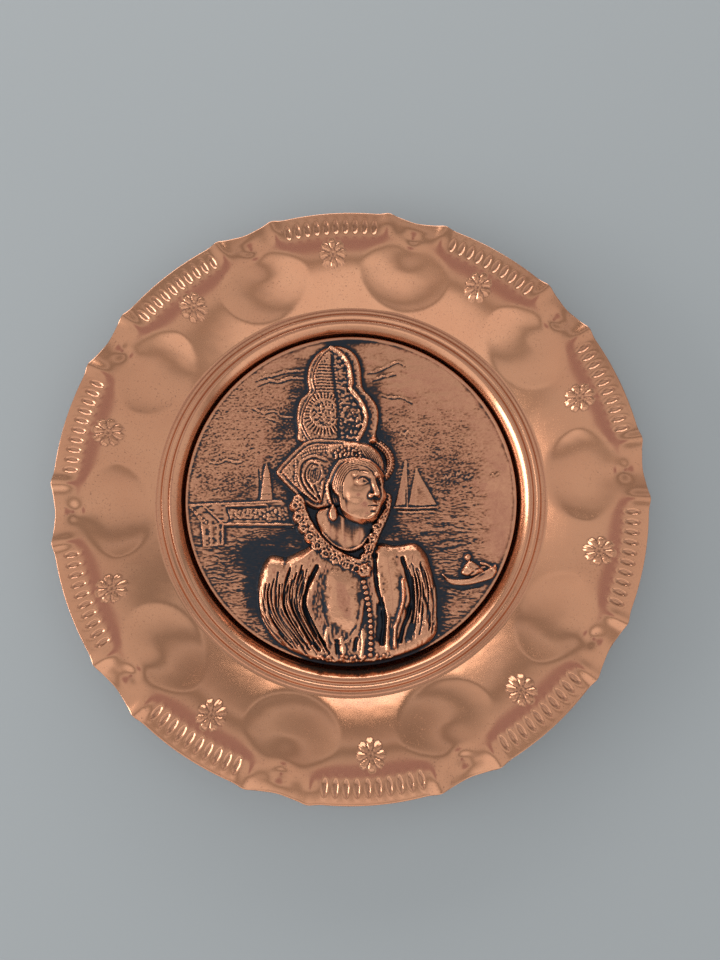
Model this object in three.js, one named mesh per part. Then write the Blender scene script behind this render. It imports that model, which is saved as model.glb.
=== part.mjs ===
// A pressed copper wall plate with a repousse medallion set into its well.
// Millimetres, +Z up. The plate lies on its back: the well floor rests on z = 0, the relief faces up,
// +Y is the top of the picture and +X its right. The origin is the centre of the well's underside.

import * as THREE from 'three';
import { mergeVertices } from 'three/addons/utils/BufferGeometryUtils.js';

const TAU = Math.PI * 2;
const RAD = Math.PI / 180;

// ---- Driving dimensions ----

const plateRadius = 135;
const sheet = 0.7;                 // copper sheet of the dish
const gap = 0.3;                   // air kept between two touching pieces
const hangerGap = 0.4;             // the same under the rim, whose back is curved

// Well and the two rolled beads around its mouth
const wellFloorRadius = 79.6;
const wallTopRadius = 84.4;
const wallTopHeight = 8.8;
const innerBead = { radius: 85.5, height: 9.3 };
const beadGroove = { radius: 87.3, height: 8.5 };
const outerBead = { radius: 89.1, height: 9.0 };

// Rim: a quarter wave from its foot up to a crest, then a small fall to the edge
const rimFoot = { radius: 92.4, height: 8.0 };
const rimCrest = { radius: 125, height: 24.3 };
const edgeFall = 0.008;            // fall of the edge, per square millimetre past the crest

// Ten lobes: a flower between two hollows, and a hollow with a pinched flute at the edge
const lobes = 10;
const lobeStep = 360 / lobes;
const pinchAngle = 76.4;           // degrees, the first hollow anticlockwise from +X
const hollow = { centre: 107.5, halfWidth: 21.5, innerReach: 13.8, outerReach: 16, depth: 3.1 };
const flute = { width: 3.6, depth: 1.0, start: 121, full: 130, ridge: 1.1, ridgeAt: 5.9, ridgeWidth: 1.3 };

// Medallion and what it is bedded on
const mastic = { inner: 42, outer: 72, thickness: 0.5 };
const board = { radius: 77.6, thickness: 2.4, chamfer: 0.6 };
const medallion = { radius: 79.5, sheet: 0.6 };

// Hanger on the back of the rim, at the top of the picture
const wire = 0.75;                 // radius of the ring's wire
const ringRadius = 8;              // centre line of the ring
const eyeBore = 1.4;
const strap = { width: 4.5, thickness: 0.8, footInner: 101, hingeY: 115.5 };
const solder = { thickness: 0.5, width: 6.5, length: 8.5 };

// ---- Materials ----

function metal(color, roughness) {
  return new THREE.MeshStandardMaterial({ color, roughness, metalness: 1 });
}

const satinCopper = () => metal(0xb97c5f, 0.28);
const patinatedCopper = () => metal(0x8a5640, 0.4);
const darkWire = () => metal(0x8f6a48, 0.4);
const solderGrey = () => metal(0x9a9a96, 0.45);

function dull(color) {
  return new THREE.MeshStandardMaterial({ color, roughness: 0.9, metalness: 0 });
}

// ---- Closed solids of revolution whose rows may be pressed out of round ----

// rows run from the centre of the front, over the edge, to the centre of the back.
// place(row, angle) returns the [x, y, z] of a row's point at that angle.
function pressedDisc(frontCentre, rows, backCentre, segments, place) {
  const positions = [...frontCentre];
  for (const row of rows) {
    for (let i = 0; i < segments; i += 1) {
      positions.push(...place(row, (i / segments) * TAU));
    }
  }
  positions.push(...backCentre);
  const at = (row, i) => 1 + row * segments + (i % segments);
  const last = 1 + rows.length * segments;
  const faces = [];
  for (let i = 0; i < segments; i += 1) {
    faces.push(0, at(0, i), at(0, i + 1));
    for (let row = 0; row < rows.length - 1; row += 1) {
      faces.push(at(row, i), at(row + 1, i), at(row + 1, i + 1));
      faces.push(at(row, i), at(row + 1, i + 1), at(row, i + 1));
    }
    faces.push(at(rows.length - 1, i), last, at(rows.length - 1, i + 1));
  }
  const geometry = new THREE.BufferGeometry();
  geometry.setAttribute('position', new THREE.Float32BufferAttribute(positions, 3));
  geometry.setIndex(faces);
  geometry.computeVertexNormals();
  return geometry;
}

// ---- Dish ----

function rimHeight(radius) {
  if (radius > rimCrest.radius) {
    return rimCrest.height - edgeFall * (radius - rimCrest.radius) ** 2;
  }
  const along = (radius - rimFoot.radius) / (rimCrest.radius - rimFoot.radius);
  return rimFoot.height + (rimCrest.height - rimFoot.height) * Math.sin((along * Math.PI) / 2);
}

function rimSlope(radius) {
  const step = 0.01;
  return (rimHeight(radius + step) - rimHeight(radius - step)) / (2 * step);
}

// Degrees from the nearest hollow's middle line
function fromPinch(angle) {
  const turn = (angle / RAD - pinchAngle) / lobeStep;
  return (turn - Math.round(turn)) * lobeStep;
}

// How far the press pushes the rim up or down at a point
function pressed(radius, angle) {
  if (radius <= rimFoot.radius) {
    return 0;
  }
  const off = fromPinch(angle);
  const across = radius * Math.sin(off * RAD);
  const along = radius * Math.cos(off * RAD) - hollow.centre;
  const reach = along < 0 ? hollow.innerReach : hollow.outerReach;
  const share = Math.hypot(across / hollow.halfWidth, along / reach);
  const bowl = share < 1 ? hollow.depth * (1 - share * share) : 0;

  const outside = THREE.MathUtils.smoothstep(radius, flute.start, flute.full);
  const inFlute = Math.exp(-((off / flute.width) ** 2));
  const onRidge = Math.exp(-(((Math.abs(off) - flute.ridgeAt) / flute.ridgeWidth) ** 2));
  return outside * (flute.ridge * onRidge - flute.depth * inFlute) - bowl;
}

function dishRows() {
  const well = [
    [wellFloorRadius, sheet],
    [80.5, 1.4],
    [81.6, 5.0],
    [wallTopRadius, wallTopHeight],
    [innerBead.radius, innerBead.height],
    [beadGroove.radius, beadGroove.height],
    [outerBead.radius, outerBead.height],
    [rimFoot.radius, rimFoot.height],
  ];
  const underWell = [
    [rimFoot.radius + 0.3, rimFoot.height - sheet * 1.1],
    [outerBead.radius, outerBead.height - sheet * 1.2],
    [innerBead.radius, innerBead.height - sheet * 1.2],
    [82.4, 5.0],
    [81.3, 0.9],
    [80.2, 0],
  ];
  const rimRadii = [97, 102, 107, 112, 117, 121, 124.5, 128, 131, 133.5, plateRadius];
  const front = rimRadii.map((radius) => [radius, rimHeight(radius)]);
  const back = rimRadii.map((radius) => {
    const tilt = Math.atan(rimSlope(radius));
    const shift = radius === plateRadius ? 0 : sheet * Math.sin(tilt);
    return [radius + shift, rimHeight(radius) - sheet * Math.cos(tilt)];
  });
  return [...well, ...front, ...back.reverse(), ...underWell];
}

function makeDish() {
  const segments = lobes * 12;
  const place = ([radius, height], turn) => {
    const angle = turn + pinchAngle * RAD;
    return [radius * Math.cos(angle), radius * Math.sin(angle), height + pressed(radius, angle)];
  };
  return pressedDisc([0, 0, sheet], dishRows(), [0, 0, 0], segments, place);
}

// ---- Medallion: the figure's main masses as smooth domes ----

// Each dome: centre, half axes and height above the flat ground
const domes = [
  { x: -8.7, y: 62, across: 14.5, up: 17, height: 4.0 },   // headdress, upper lobe
  { x: -7.0, y: 41, across: 20, up: 15.5, height: 4.4 },   // headdress, lower lobe
  { x: -11, y: 11, across: 25, up: 17.5, height: 5.0 },    // cap
  { x: 3, y: 3, across: 15, up: 19, height: 8.8 },         // head
  { x: -3.5, y: -22, across: 12, up: 16, height: 4.6 },    // neck
  { x: -3, y: -66, across: 47, up: 44, height: 6.0 },      // shoulders and chest
  { x: 58, y: -37, across: 13, up: 5.5, height: 1.6 },     // rowing boat
  { x: 29, y: 3, across: 11, up: 13, height: 0.9 },        // sailing boat
];

function reliefHeight(x, y) {
  let height = 0;
  for (const dome of domes) {
    const share = ((x - dome.x) / dome.across) ** 2 + ((y - dome.y) / dome.up) ** 2;
    if (share < 1) {
      height = Math.max(height, dome.height * Math.sqrt(1 - share));
    }
  }
  const fade = (medallion.radius - 2 - Math.hypot(x, y)) / 6;
  return height * THREE.MathUtils.clamp(fade, 0, 1);
}

function makeMedallion() {
  const segments = 60;
  const rings = 15;
  const rows = [];
  for (let ring = 1; ring <= rings; ring += 1) {
    rows.push([(medallion.radius * ring) / rings, medallion.sheet]);
  }
  for (let ring = rings; ring >= 1; ring -= 1) {
    rows.push([(medallion.radius * ring) / rings, 0]);
  }
  const place = ([radius, height], angle) => {
    const x = radius * Math.cos(angle);
    const y = radius * Math.sin(angle);
    return [x, y, height + reliefHeight(x, y)];
  };
  const middle = reliefHeight(0, 0);
  return pressedDisc([0, 0, medallion.sheet + middle], rows, [0, 0, middle], segments, place);
}

// ---- Board and mastic under the medallion ----

function lathe(outline, segments) {
  const points = outline.map(([radius, height]) => new THREE.Vector2(radius, height));
  const geometry = new THREE.LatheGeometry(points, segments);
  geometry.rotateX(Math.PI / 2);
  geometry.deleteAttribute('normal');
  geometry.deleteAttribute('uv');
  const solid = mergeVertices(geometry, 1e-4);
  solid.computeVertexNormals();
  return solid;
}

function makeBoard() {
  const { radius, thickness, chamfer } = board;
  return lathe([
    [0, 0],
    [radius, 0],
    [radius, thickness - chamfer],
    [radius - chamfer, thickness],
    [0, thickness],
  ], 64);
}

function makeMastic() {
  const { inner, outer, thickness } = mastic;
  const edge = thickness / 2;
  return lathe([
    [inner, edge],
    [inner + edge, 0],
    [outer - edge, 0],
    [outer, edge],
    [outer - edge, thickness],
    [inner + edge, thickness],
    [inner, edge],
  ], 48);
}

// ---- Hanger: solder pad, folded strap with an eye, and a wire ring ----

const footOuter = 111;
const footRise = rimHeight(footOuter) - rimHeight(strap.footInner);
const footTilt = Math.atan2(footRise, footOuter - strap.footInner);
const footMiddle = (strap.footInner + footOuter) / 2;
const padDepth = sheet + hangerGap;
const strapDepth = padDepth + solder.thickness + gap;

// A point under the rim, in the plane x = 0: along the foot from its middle, and down from the front face
function underRim(along, down) {
  const start = rimHeight(footMiddle);
  return {
    y: footMiddle + along * Math.cos(footTilt) + down * Math.sin(footTilt),
    z: start + along * Math.sin(footTilt) - down * Math.cos(footTilt),
  };
}

const eyeOuter = eyeBore + strap.thickness;
const eyeDown = strapDepth + eyeOuter;
const eyeAlong = (strap.hingeY - footMiddle - eyeDown * Math.sin(footTilt)) / Math.cos(footTilt);
const hinge = underRim(eyeAlong, eyeDown);

// Side view of the strap with the eye's centre at the origin: along the foot, and down from it
function makeStrap() {
  const footLength = eyeAlong + (footOuter - strap.footInner) / 2;
  const openAt = Math.PI * 1.02;
  const outline = new THREE.Shape();
  outline.moveTo(-footLength, eyeOuter);
  outline.lineTo(-footLength, eyeBore);
  outline.lineTo(0, eyeBore);
  outline.absarc(0, 0, eyeBore, Math.PI / 2, -openAt, true);
  outline.absarc(0, 0, eyeOuter, -openAt, Math.PI / 2, false);
  outline.closePath();
  const geometry = new THREE.ExtrudeGeometry(outline, {
    depth: strap.width,
    bevelEnabled: false,
    curveSegments: 20,
  });
  geometry.translate(0, 0, -strap.width / 2);
  const alongY = new THREE.Vector3(0, 1, 0);
  const upZ = new THREE.Vector3(0, 0, 1);
  const acrossX = new THREE.Vector3(1, 0, 0);
  geometry.applyMatrix4(new THREE.Matrix4().makeBasis(alongY, upZ, acrossX));
  return geometry;
}

function makePad() {
  return new THREE.BoxGeometry(solder.width, solder.length, solder.thickness);
}

function makeRing() {
  const geometry = new THREE.TorusGeometry(ringRadius, wire, 10, 48);
  geometry.deleteAttribute('normal');
  geometry.deleteAttribute('uv');
  const solid = mergeVertices(geometry, 1e-4);
  solid.rotateX(Math.PI / 2);
  solid.computeVertexNormals();
  return solid;
}

// ---- Assembly ----

const plate = new THREE.Group();

function add(name, geometry, material, y = 0, z = 0) {
  const mesh = new THREE.Mesh(geometry, material);
  mesh.name = name;
  mesh.position.set(0, y, z);
  plate.add(mesh);
  return mesh;
}

const masticZ = sheet + gap;
const boardZ = masticZ + mastic.thickness + gap;
const medallionZ = boardZ + board.thickness + gap;

add('dish', makeDish(), satinCopper());
add('mastic_bed', makeMastic(), dull(0xc9bfa6), 0, masticZ);
add('backing_board', makeBoard(), dull(0x6b4a32), 0, boardZ);
add('relief_medallion', makeMedallion(), patinatedCopper(), 0, medallionZ);

const pad = underRim(0, padDepth + solder.thickness / 2);
const padMesh = add('solder_pad', makePad(), solderGrey(), pad.y, pad.z);
padMesh.rotation.x = footTilt;

const strapMesh = add('hanger_strap', makeStrap(), satinCopper(), hinge.y, hinge.z);
strapMesh.rotation.x = footTilt;

add('hanging_ring', makeRing(), darkWire(), hinge.y, hinge.z - ringRadius);

export default plate;
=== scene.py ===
"""The looks of a pressed copper wall plate with a repousse medallion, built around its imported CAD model.

Shapes are worked out in millimetres, in the CAD frame: +Z up through the relief, +Y to the picture's top.
The dish and the medallion are height fields pressed through a thin sheet, as the real ones are.
"""

import math

import bmesh
import bpy
import numpy as np
from mathutils import Matrix, Vector


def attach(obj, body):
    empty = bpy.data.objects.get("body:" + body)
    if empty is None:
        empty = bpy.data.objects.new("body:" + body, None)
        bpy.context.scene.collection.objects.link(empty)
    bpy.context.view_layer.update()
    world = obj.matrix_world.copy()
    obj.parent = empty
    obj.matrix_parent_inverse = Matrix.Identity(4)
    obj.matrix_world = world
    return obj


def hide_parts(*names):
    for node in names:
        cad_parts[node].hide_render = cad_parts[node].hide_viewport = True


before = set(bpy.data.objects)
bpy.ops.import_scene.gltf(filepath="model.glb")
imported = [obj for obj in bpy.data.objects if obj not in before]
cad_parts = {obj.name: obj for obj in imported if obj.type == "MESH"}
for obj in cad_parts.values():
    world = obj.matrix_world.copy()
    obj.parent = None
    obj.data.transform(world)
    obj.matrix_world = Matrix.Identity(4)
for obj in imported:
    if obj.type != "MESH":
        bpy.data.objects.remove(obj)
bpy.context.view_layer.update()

MM = 0.001

# ---- Sizes ---------------------------------------------------------------------------------------

# Lengths in millimetres and angles in degrees
SHEET = 0.7
PLATE_RADIUS = 135.0
RIM_FOOT_RADIUS = 92.4
RIM_FOOT_HEIGHT = 8.0
CREST_RADIUS = 125.0
CREST_HEIGHT = 24.3
EDGE_FALL = 0.008

LOBES = 10
LOBE_STEP = 360.0 / LOBES
FLOWER_ANGLE = 94.4
FLOWER_RADIUS = 114.8
HOLLOW_CENTRE = 107.5
HOLLOW_HALF_WIDTH = 21.5
HOLLOW_INNER_REACH = 13.8
HOLLOW_OUTER_REACH = 16.0
HOLLOW_DEPTH = 3.2

NECK_DEPTH = 0.8
DIMPLE_RADIUS = 125.6
DIMPLE_DEPTH = 1.5
FLUTE_WIDTH = 3.6
FLUTE_DEPTH = 1.3
RIDGE_AT = 5.9
RIDGE_WIDTH = 1.3
RIDGE_HEIGHT = 1.3

PUNCHES = 10
PUNCH_PITCH = 2.07
PUNCH_CENTRE = 127.4
PUNCH_HALF_WIDTH = 1.35
PUNCH_HALF_LENGTH = 3.6
PUNCH_DEPTH = 0.75
PUNCH_LIP = 0.14
PETAL_HEIGHT = 0.95

# ---- Mesh helpers --------------------------------------------------------------------------------


def mesh_object(name, points, faces, smooth=True):
    """An object from points in millimetres and a list of arrays of faces, each array of one corner count."""
    mesh = bpy.data.meshes.new(name)
    corners = np.concatenate([np.asarray(f).ravel() for f in faces]).astype(np.int32)
    counts = np.concatenate([np.full(len(f), np.asarray(f).shape[1]) for f in faces])
    starts = np.concatenate([[0], np.cumsum(counts)[:-1]]).astype(np.int32)
    mesh.vertices.add(len(points))
    mesh.vertices.foreach_set("co", (np.asarray(points, dtype=float) * MM).ravel())
    mesh.loops.add(len(corners))
    mesh.loops.foreach_set("vertex_index", corners)
    mesh.polygons.add(len(counts))
    mesh.polygons.foreach_set("loop_start", starts)
    mesh.update(calc_edges=True)
    mesh.polygons.foreach_set("use_smooth", np.full(len(counts), smooth))
    mesh.validate()
    piece = bpy.data.objects.new(name, mesh)
    bpy.context.scene.collection.objects.link(piece)
    return piece


def smoothstep(low, high, value):
    share = np.clip((value - low) / (high - low), 0.0, 1.0)
    return share * share * (3.0 - 2.0 * share)


def ring_faces(first, second):
    """Faces between two rings of vertex indices, where the counts are equal or one is twice the other."""
    n, m = len(first), len(second)
    if n == m:
        return [np.stack([first, second, np.roll(second, -1), np.roll(first, -1)], axis=1)]
    if m == 2 * n:
        after = np.roll(first, -1)
        even, odd, last = second[0::2], second[1::2], np.roll(second[0::2], -1)
        return [np.concatenate([
            np.stack([first, even, odd], axis=1),
            np.stack([first, odd, after], axis=1),
            np.stack([after, odd, last], axis=1),
        ])]
    even, odd, last = first[0::2], first[1::2], np.roll(first[0::2], -1)
    after = np.roll(second, -1)
    return [np.concatenate([
        np.stack([even, second, odd], axis=1),
        np.stack([odd, second, after], axis=1),
        np.stack([odd, after, last], axis=1),
    ])]


# ---- Dish ----------------------------------------------------------------------------------------


def rim_height(radius):
    along = (radius - RIM_FOOT_RADIUS) / (CREST_RADIUS - RIM_FOOT_RADIUS)
    rise = RIM_FOOT_HEIGHT + (CREST_HEIGHT - RIM_FOOT_HEIGHT) * np.sin(np.clip(along, 0, 1) * math.pi / 2)
    past = np.maximum(radius - CREST_RADIUS, 0)
    return rise - EDGE_FALL * past**2


def from_lobe(angle, start):
    """Degrees from the nearest of the ten places that start at one angle."""
    turn = (angle - start) / LOBE_STEP
    return (turn - np.round(turn)) * LOBE_STEP


def soft_positive(value, softness):
    """value where it is positive and 0 where it is negative, with a rounded corner."""
    return 0.5 * (value + np.sqrt(value * value + softness * softness))


def hollows_and_flutes(radius, angle):
    """The ten thumb-shaped hollows, and the flute that pinches the edge outside each of them."""
    off = from_lobe(angle, FLOWER_ANGLE - LOBE_STEP / 2)
    across = radius * np.sin(np.radians(off))
    along = radius * np.cos(np.radians(off)) - HOLLOW_CENTRE
    reach = np.where(along < 0, HOLLOW_INNER_REACH, HOLLOW_OUTER_REACH)
    half_width = HOLLOW_HALF_WIDTH * (1 - 0.22 * smoothstep(0.0, 16.0, along))
    share = np.hypot(across / half_width, along / reach)
    bowl = HOLLOW_DEPTH * soft_positive(1.0 - share**2.3, 0.08 + 0.3 * smoothstep(-2.0, 12.0, along))
    neck = np.exp(-((across / 6.5) ** 2))
    neck = neck * smoothstep(110.0, 119.0, radius) * smoothstep(128.0, 122.0, radius)

    outside = smoothstep(121.0, 130.0, radius)
    valley = np.exp(-((off / FLUTE_WIDTH) ** 2))
    ridge = np.exp(-(((np.abs(off) - RIDGE_AT) / RIDGE_WIDTH) ** 2))
    dimple = np.exp(-((across / 4.2) ** 2 + ((radius - DIMPLE_RADIUS) / 3.2) ** 2))
    pinch = outside * (RIDGE_HEIGHT * ridge - FLUTE_DEPTH * valley)
    return pinch - bowl - NECK_DEPTH * neck - DIMPLE_DEPTH * dimple


def punch_marks(radius, angle):
    """Oval dents, long along the radius, in ten groups of ten."""
    off = from_lobe(angle, FLOWER_ANGLE)
    slot = np.clip(np.floor(off / PUNCH_PITCH) + 0.5, 0.5 - PUNCHES / 2, PUNCHES / 2 - 0.5)
    across = (off - slot * PUNCH_PITCH) * math.pi / 180 * radius
    share = np.sqrt((across / PUNCH_HALF_WIDTH) ** 2 + ((radius - PUNCH_CENTRE) / PUNCH_HALF_LENGTH) ** 2)
    dent = PUNCH_DEPTH * smoothstep(1.1, 0.5, share)
    lip = PUNCH_LIP * np.exp(-(((share - 1.22) / 0.15) ** 2))
    return np.where(np.abs(off) < PUNCH_PITCH * (PUNCHES + 1) / 2, lip - dent, 0.0)


def flowers(radius, angle):
    """Raised flowers of eight notched petals round a dimpled middle."""
    off = np.radians(from_lobe(angle, FLOWER_ANGLE))
    across = radius * np.sin(off)
    along = radius * np.cos(off) - FLOWER_RADIUS
    out = np.hypot(across, along)
    turn = np.arctan2(across, along) / (math.pi / 4)
    beside = (turn - np.round(turn)) * math.pi / 4
    side, forth = out * np.sin(beside), out * np.cos(beside)
    petal = np.sqrt(np.clip(1.0 - ((forth - 4.0) / 2.5) ** 2 - (side / (0.75 + 0.17 * forth)) ** 2, 0.0, 1.0))
    notch = 0.5 * np.exp(-((side / 0.45) ** 2)) * smoothstep(4.4, 6.2, forth)
    boss = 0.55 * np.exp(-(((out - 1.25) / 0.55) ** 2))
    return np.where(out < 8.0, np.maximum(PETAL_HEIGHT * petal - notch, boss), 0.0)


def pressed_rim(radius, angle):
    """Everything that is pressed into the smooth rim, as a height."""
    height = hollows_and_flutes(radius, angle) + punch_marks(radius, angle) + flowers(radius, angle)
    return np.where(radius > RIM_FOOT_RADIUS, height, 0.0)


def rim_groove_shade(x, y):
    """How far a place of the rim lies in a groove or against a raised edge, from 0 to 1: painted shade for
    the rim's grooves and dents.
    """
    radius, angle = np.hypot(x, y), np.degrees(np.arctan2(y, x))
    middle = pressed_rim(radius, angle)
    around = 0.0
    for side_x, side_y in ((0.7, 0), (-0.7, 0), (0, 0.7), (0, -0.7)):
        near_x, near_y = x + side_x, y + side_y
        around = around + pressed_rim(np.hypot(near_x, near_y), np.degrees(np.arctan2(near_y, near_x))) / 4
    return np.clip((around - middle) * 3.2, 0.0, 1.0)


def edge_shift(angle):
    """The trimmed edge stands out a little at each ridge of a flute, and is drawn in between them."""
    off = from_lobe(angle, FLOWER_ANGLE - LOBE_STEP / 2)
    return 0.5 * np.exp(-(((np.abs(off) - RIDGE_AT) / 1.6) ** 2)) - 1.0 * np.exp(-((off / 3.2) ** 2))


# Half section of the well, its wall and the rolled beads: radius and height of the front face
WELL_SECTION = [
    (40.0, 0.7), (76.0, 0.7), (79.6, 0.72), (80.2, 0.95), (80.5, 1.7), (80.62, 3.2), (80.8, 4.4),
    (81.25, 5.3), (82.0, 6.4), (82.9, 7.5), (83.7, 8.4), (84.35, 9.0), (84.9, 9.3), (85.5, 9.38),
    (86.05, 9.2), (86.5, 8.75), (86.95, 8.32), (87.35, 8.2), (87.75, 8.34), (88.2, 8.8), (88.65, 9.12),
    (89.1, 9.2), (89.55, 9.08), (90.0, 8.62), (90.4, 8.12), (90.75, 7.92), (91.1, 8.12), (91.45, 8.36),
    (91.8, 8.3), (92.1, 8.1), (92.4, 8.0),
]
UNDER_SECTION = [
    (92.8, 7.3), (91.6, 7.4), (90.6, 7.3), (89.9, 7.9), (89.15, 8.4), (88.4, 7.95), (87.4, 7.5),
    (86.5, 8.0), (85.6, 8.6), (84.9, 8.5), (84.15, 7.85), (83.4, 6.95), (82.5, 5.85), (81.8, 4.85),
    (81.5, 4.0), (81.35, 3.0), (81.2, 1.5), (80.8, 0.45), (80.0, 0.0), (76.0, 0.0), (40.0, 0.0),
]


def sector_angles():
    """Column angles round the plate: close together over the punch marks, wider between them."""
    half = PUNCH_PITCH * PUNCHES / 2
    marks = -half + np.arange(PUNCHES * 10) * PUNCH_PITCH / 10
    between = half + np.arange(32) * (LOBE_STEP - 2 * half) / 32
    sector = np.concatenate([marks, between])
    return np.concatenate([FLOWER_ANGLE + LOBE_STEP * i + sector for i in range(LOBES)])


def make_dish():
    angles = sector_angles()
    middle_rows = list(np.linspace(93.4, 106.2, 10))
    flower_rows = list(np.linspace(107.3, 120.3, 26))
    punch_rows = [121.2, 122.2] + list(np.linspace(123.2, 131.0, 14))
    edge_rows = [131.9, 132.8, 133.7, 134.4]
    under_rows = list(np.linspace(134.2, 108.0, 25))
    under_middle = list(np.linspace(106.0, 94.0, 8))

    rows = []
    for radius, height in WELL_SECTION:
        rows.append((4, radius, height, None))
    for radius in middle_rows:
        rows.append((2, radius, rim_height(radius), "front"))
    for radius in flower_rows + punch_rows + edge_rows:
        rows.append((1, radius, rim_height(radius), "front"))
    rim_end = float(rim_height(PLATE_RADIUS))
    rows.append((1, PLATE_RADIUS - 0.22, rim_end + 0.08, "front"))
    rows.append((1, PLATE_RADIUS, rim_end - 0.12, "front"))
    rows.append((1, PLATE_RADIUS, rim_end - SHEET + 0.2, "front"))
    rows.append((2, PLATE_RADIUS - 0.25, rim_end - SHEET, "front"))
    for radius in under_rows:
        rows.append((2, radius, None, "back"))
    for radius in under_middle:
        rows.append((4, radius, None, "back"))
    for radius, height in UNDER_SECTION:
        rows.append((4, radius, height, None))

    points = [np.array([[0.0, 0.0, SHEET]])]
    rings = []
    count = 1
    for stride, radius, height, side in rows:
        angle = angles[::stride]
        radii = np.full(len(angle), radius)
        if side == "back":
            slope = float(rim_height(radius + 0.05) - rim_height(radius - 0.05)) / 0.1
            tilt = math.atan(slope)
            heights = rim_height(radii) - SHEET * math.cos(tilt) + pressed_rim(radii, angle)
            radii = radii + SHEET * math.sin(tilt)
        elif side == "front":
            heights = height + pressed_rim(radii, angle)
        else:
            heights = np.full(len(angle), height)
        radii = radii + edge_shift(angle) * smoothstep(122.0, 134.0, radii)
        turn = np.radians(angle)
        points.append(np.stack([radii * np.cos(turn), radii * np.sin(turn), heights], axis=1))
        rings.append(count + np.arange(len(angle)))
        count += len(angle)
    points.append(np.array([[0.0, 0.0, 0.0]]))

    faces = []
    for first, second in zip(rings, rings[1:]):
        faces += ring_faces(first, second)
    first, last = rings[0], rings[-1]
    faces.append(np.stack([np.zeros_like(first), first, np.roll(first, -1)], axis=1))
    faces.append(np.stack([last, np.full_like(last, count), np.roll(last, -1)], axis=1))
    return mesh_object("copper_dish", np.concatenate(points), faces)


# ---- Relief tools: a height field in millimetres, x to the right and y up from the medallion's centre 

GRID_STEP = 0.25
GRID_HALF = 81.0
GRID_EDGE = 79.5
PICTURE_LEAN = 0.036
GRID_AXIS = np.arange(-GRID_HALF, GRID_HALF + GRID_STEP / 2, GRID_STEP)
GRID_X, GRID_Y = np.meshgrid(GRID_AXIS, GRID_AXIS)


def window(points, margin):
    """The rows and columns of the field that hold the points, with a margin."""
    low = (np.min(points, axis=0) - margin + GRID_HALF) / GRID_STEP
    high = (np.max(points, axis=0) + margin + GRID_HALF) / GRID_STEP
    low = np.clip(np.floor(low).astype(int), 0, len(GRID_AXIS) - 2)
    high = np.clip(np.ceil(high).astype(int) + 1, 2, len(GRID_AXIS))
    return slice(low[1], high[1]), slice(low[0], high[0])


def curve(points, closed=False, steps=8):
    """A smooth curve that passes through every point."""
    knots = np.asarray(points, dtype=float)
    if closed:
        before, start, end, after = (np.roll(knots, shift, axis=0) for shift in (1, 0, -1, -2))
    else:
        longer = np.concatenate([2 * knots[:1] - knots[1:2], knots, 2 * knots[-1:] - knots[-2:-1]])
        before, start, end, after = longer[:-3], longer[1:-2], longer[2:-1], longer[3:]
    t = np.linspace(0, 1, steps, endpoint=False)[:, None, None]
    square_term = (2 * before - 5 * start + 4 * end - after) * t**2
    cube_term = (3 * start - before - 3 * end + after) * t**3
    path = 0.5 * (2 * start + (end - before) * t + square_term + cube_term)
    path = path.transpose(1, 0, 2).reshape(-1, 2)
    return path if closed else np.concatenate([path, knots[-1:]])


def distance(path, part, closed=False):
    """How far each place of a window is from a path."""
    x, y = GRID_X[part], GRID_Y[part]
    ends = np.roll(path, -1, axis=0) if closed else path[1:]
    best = np.full(x.shape, 1e9)
    for (x0, y0), (x1, y1) in zip(path, ends):
        dx, dy = x1 - x0, y1 - y0
        share = np.clip(((x - x0) * dx + (y - y0) * dy) / (dx * dx + dy * dy + 1e-9), 0, 1)
        best = np.minimum(best, (x - x0 - share * dx) ** 2 + (y - y0 - share * dy) ** 2)
    return np.sqrt(best)


def depth_inside(outline, margin=1.0):
    """A window round a closed outline, and how deep inside it each place lies (negative outside)."""
    part = window(outline, margin)
    x, y = GRID_X[part], GRID_Y[part]
    inside = np.zeros(x.shape, dtype=bool)
    for (x0, y0), (x1, y1) in zip(outline, np.roll(outline, -1, axis=0)):
        crosses = (y0 > y) != (y1 > y)
        slope = (x1 - x0) / (y1 - y0 if y1 != y0 else 1e-9)
        inside ^= crosses & (x < x0 + (y - y0) * slope)
    return part, np.where(inside, 1.0, -1.0) * distance(outline, part, closed=True)


def swell(depth, reach):
    """From 0 at an edge to 1 at a depth of reach, as a quarter circle."""
    share = np.clip(depth / reach, 0, 1)
    return np.sqrt(1 - (1 - share) ** 2)


def emboss(field, part, layer):
    field[part] = np.maximum(field[part], layer)


def raised(field, outline, low, height, reach):
    """A pad inside a closed outline, low at its edge and swelling by height towards its middle."""
    part, depth = depth_inside(outline)
    emboss(field, part, np.where(depth > 0, low + height * swell(depth, reach), -9))


def draw(field, points, width, height, smooth=True):
    """A raised line, or a groove where height is negative."""
    path = curve(points) if smooth else np.asarray(points, dtype=float)
    part = window(path, 3 * width)
    field[part] += height * np.exp(-((distance(path, part) / width) ** 2))


def dots(field, centres, radius, height):
    for centre in centres:
        part = window(np.array([centre]), radius)
        share = ((GRID_X[part] - centre[0]) ** 2 + (GRID_Y[part] - centre[1]) ** 2) / radius**2
        field[part] += height * np.sqrt(np.clip(1 - share, 0, 1))


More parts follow.
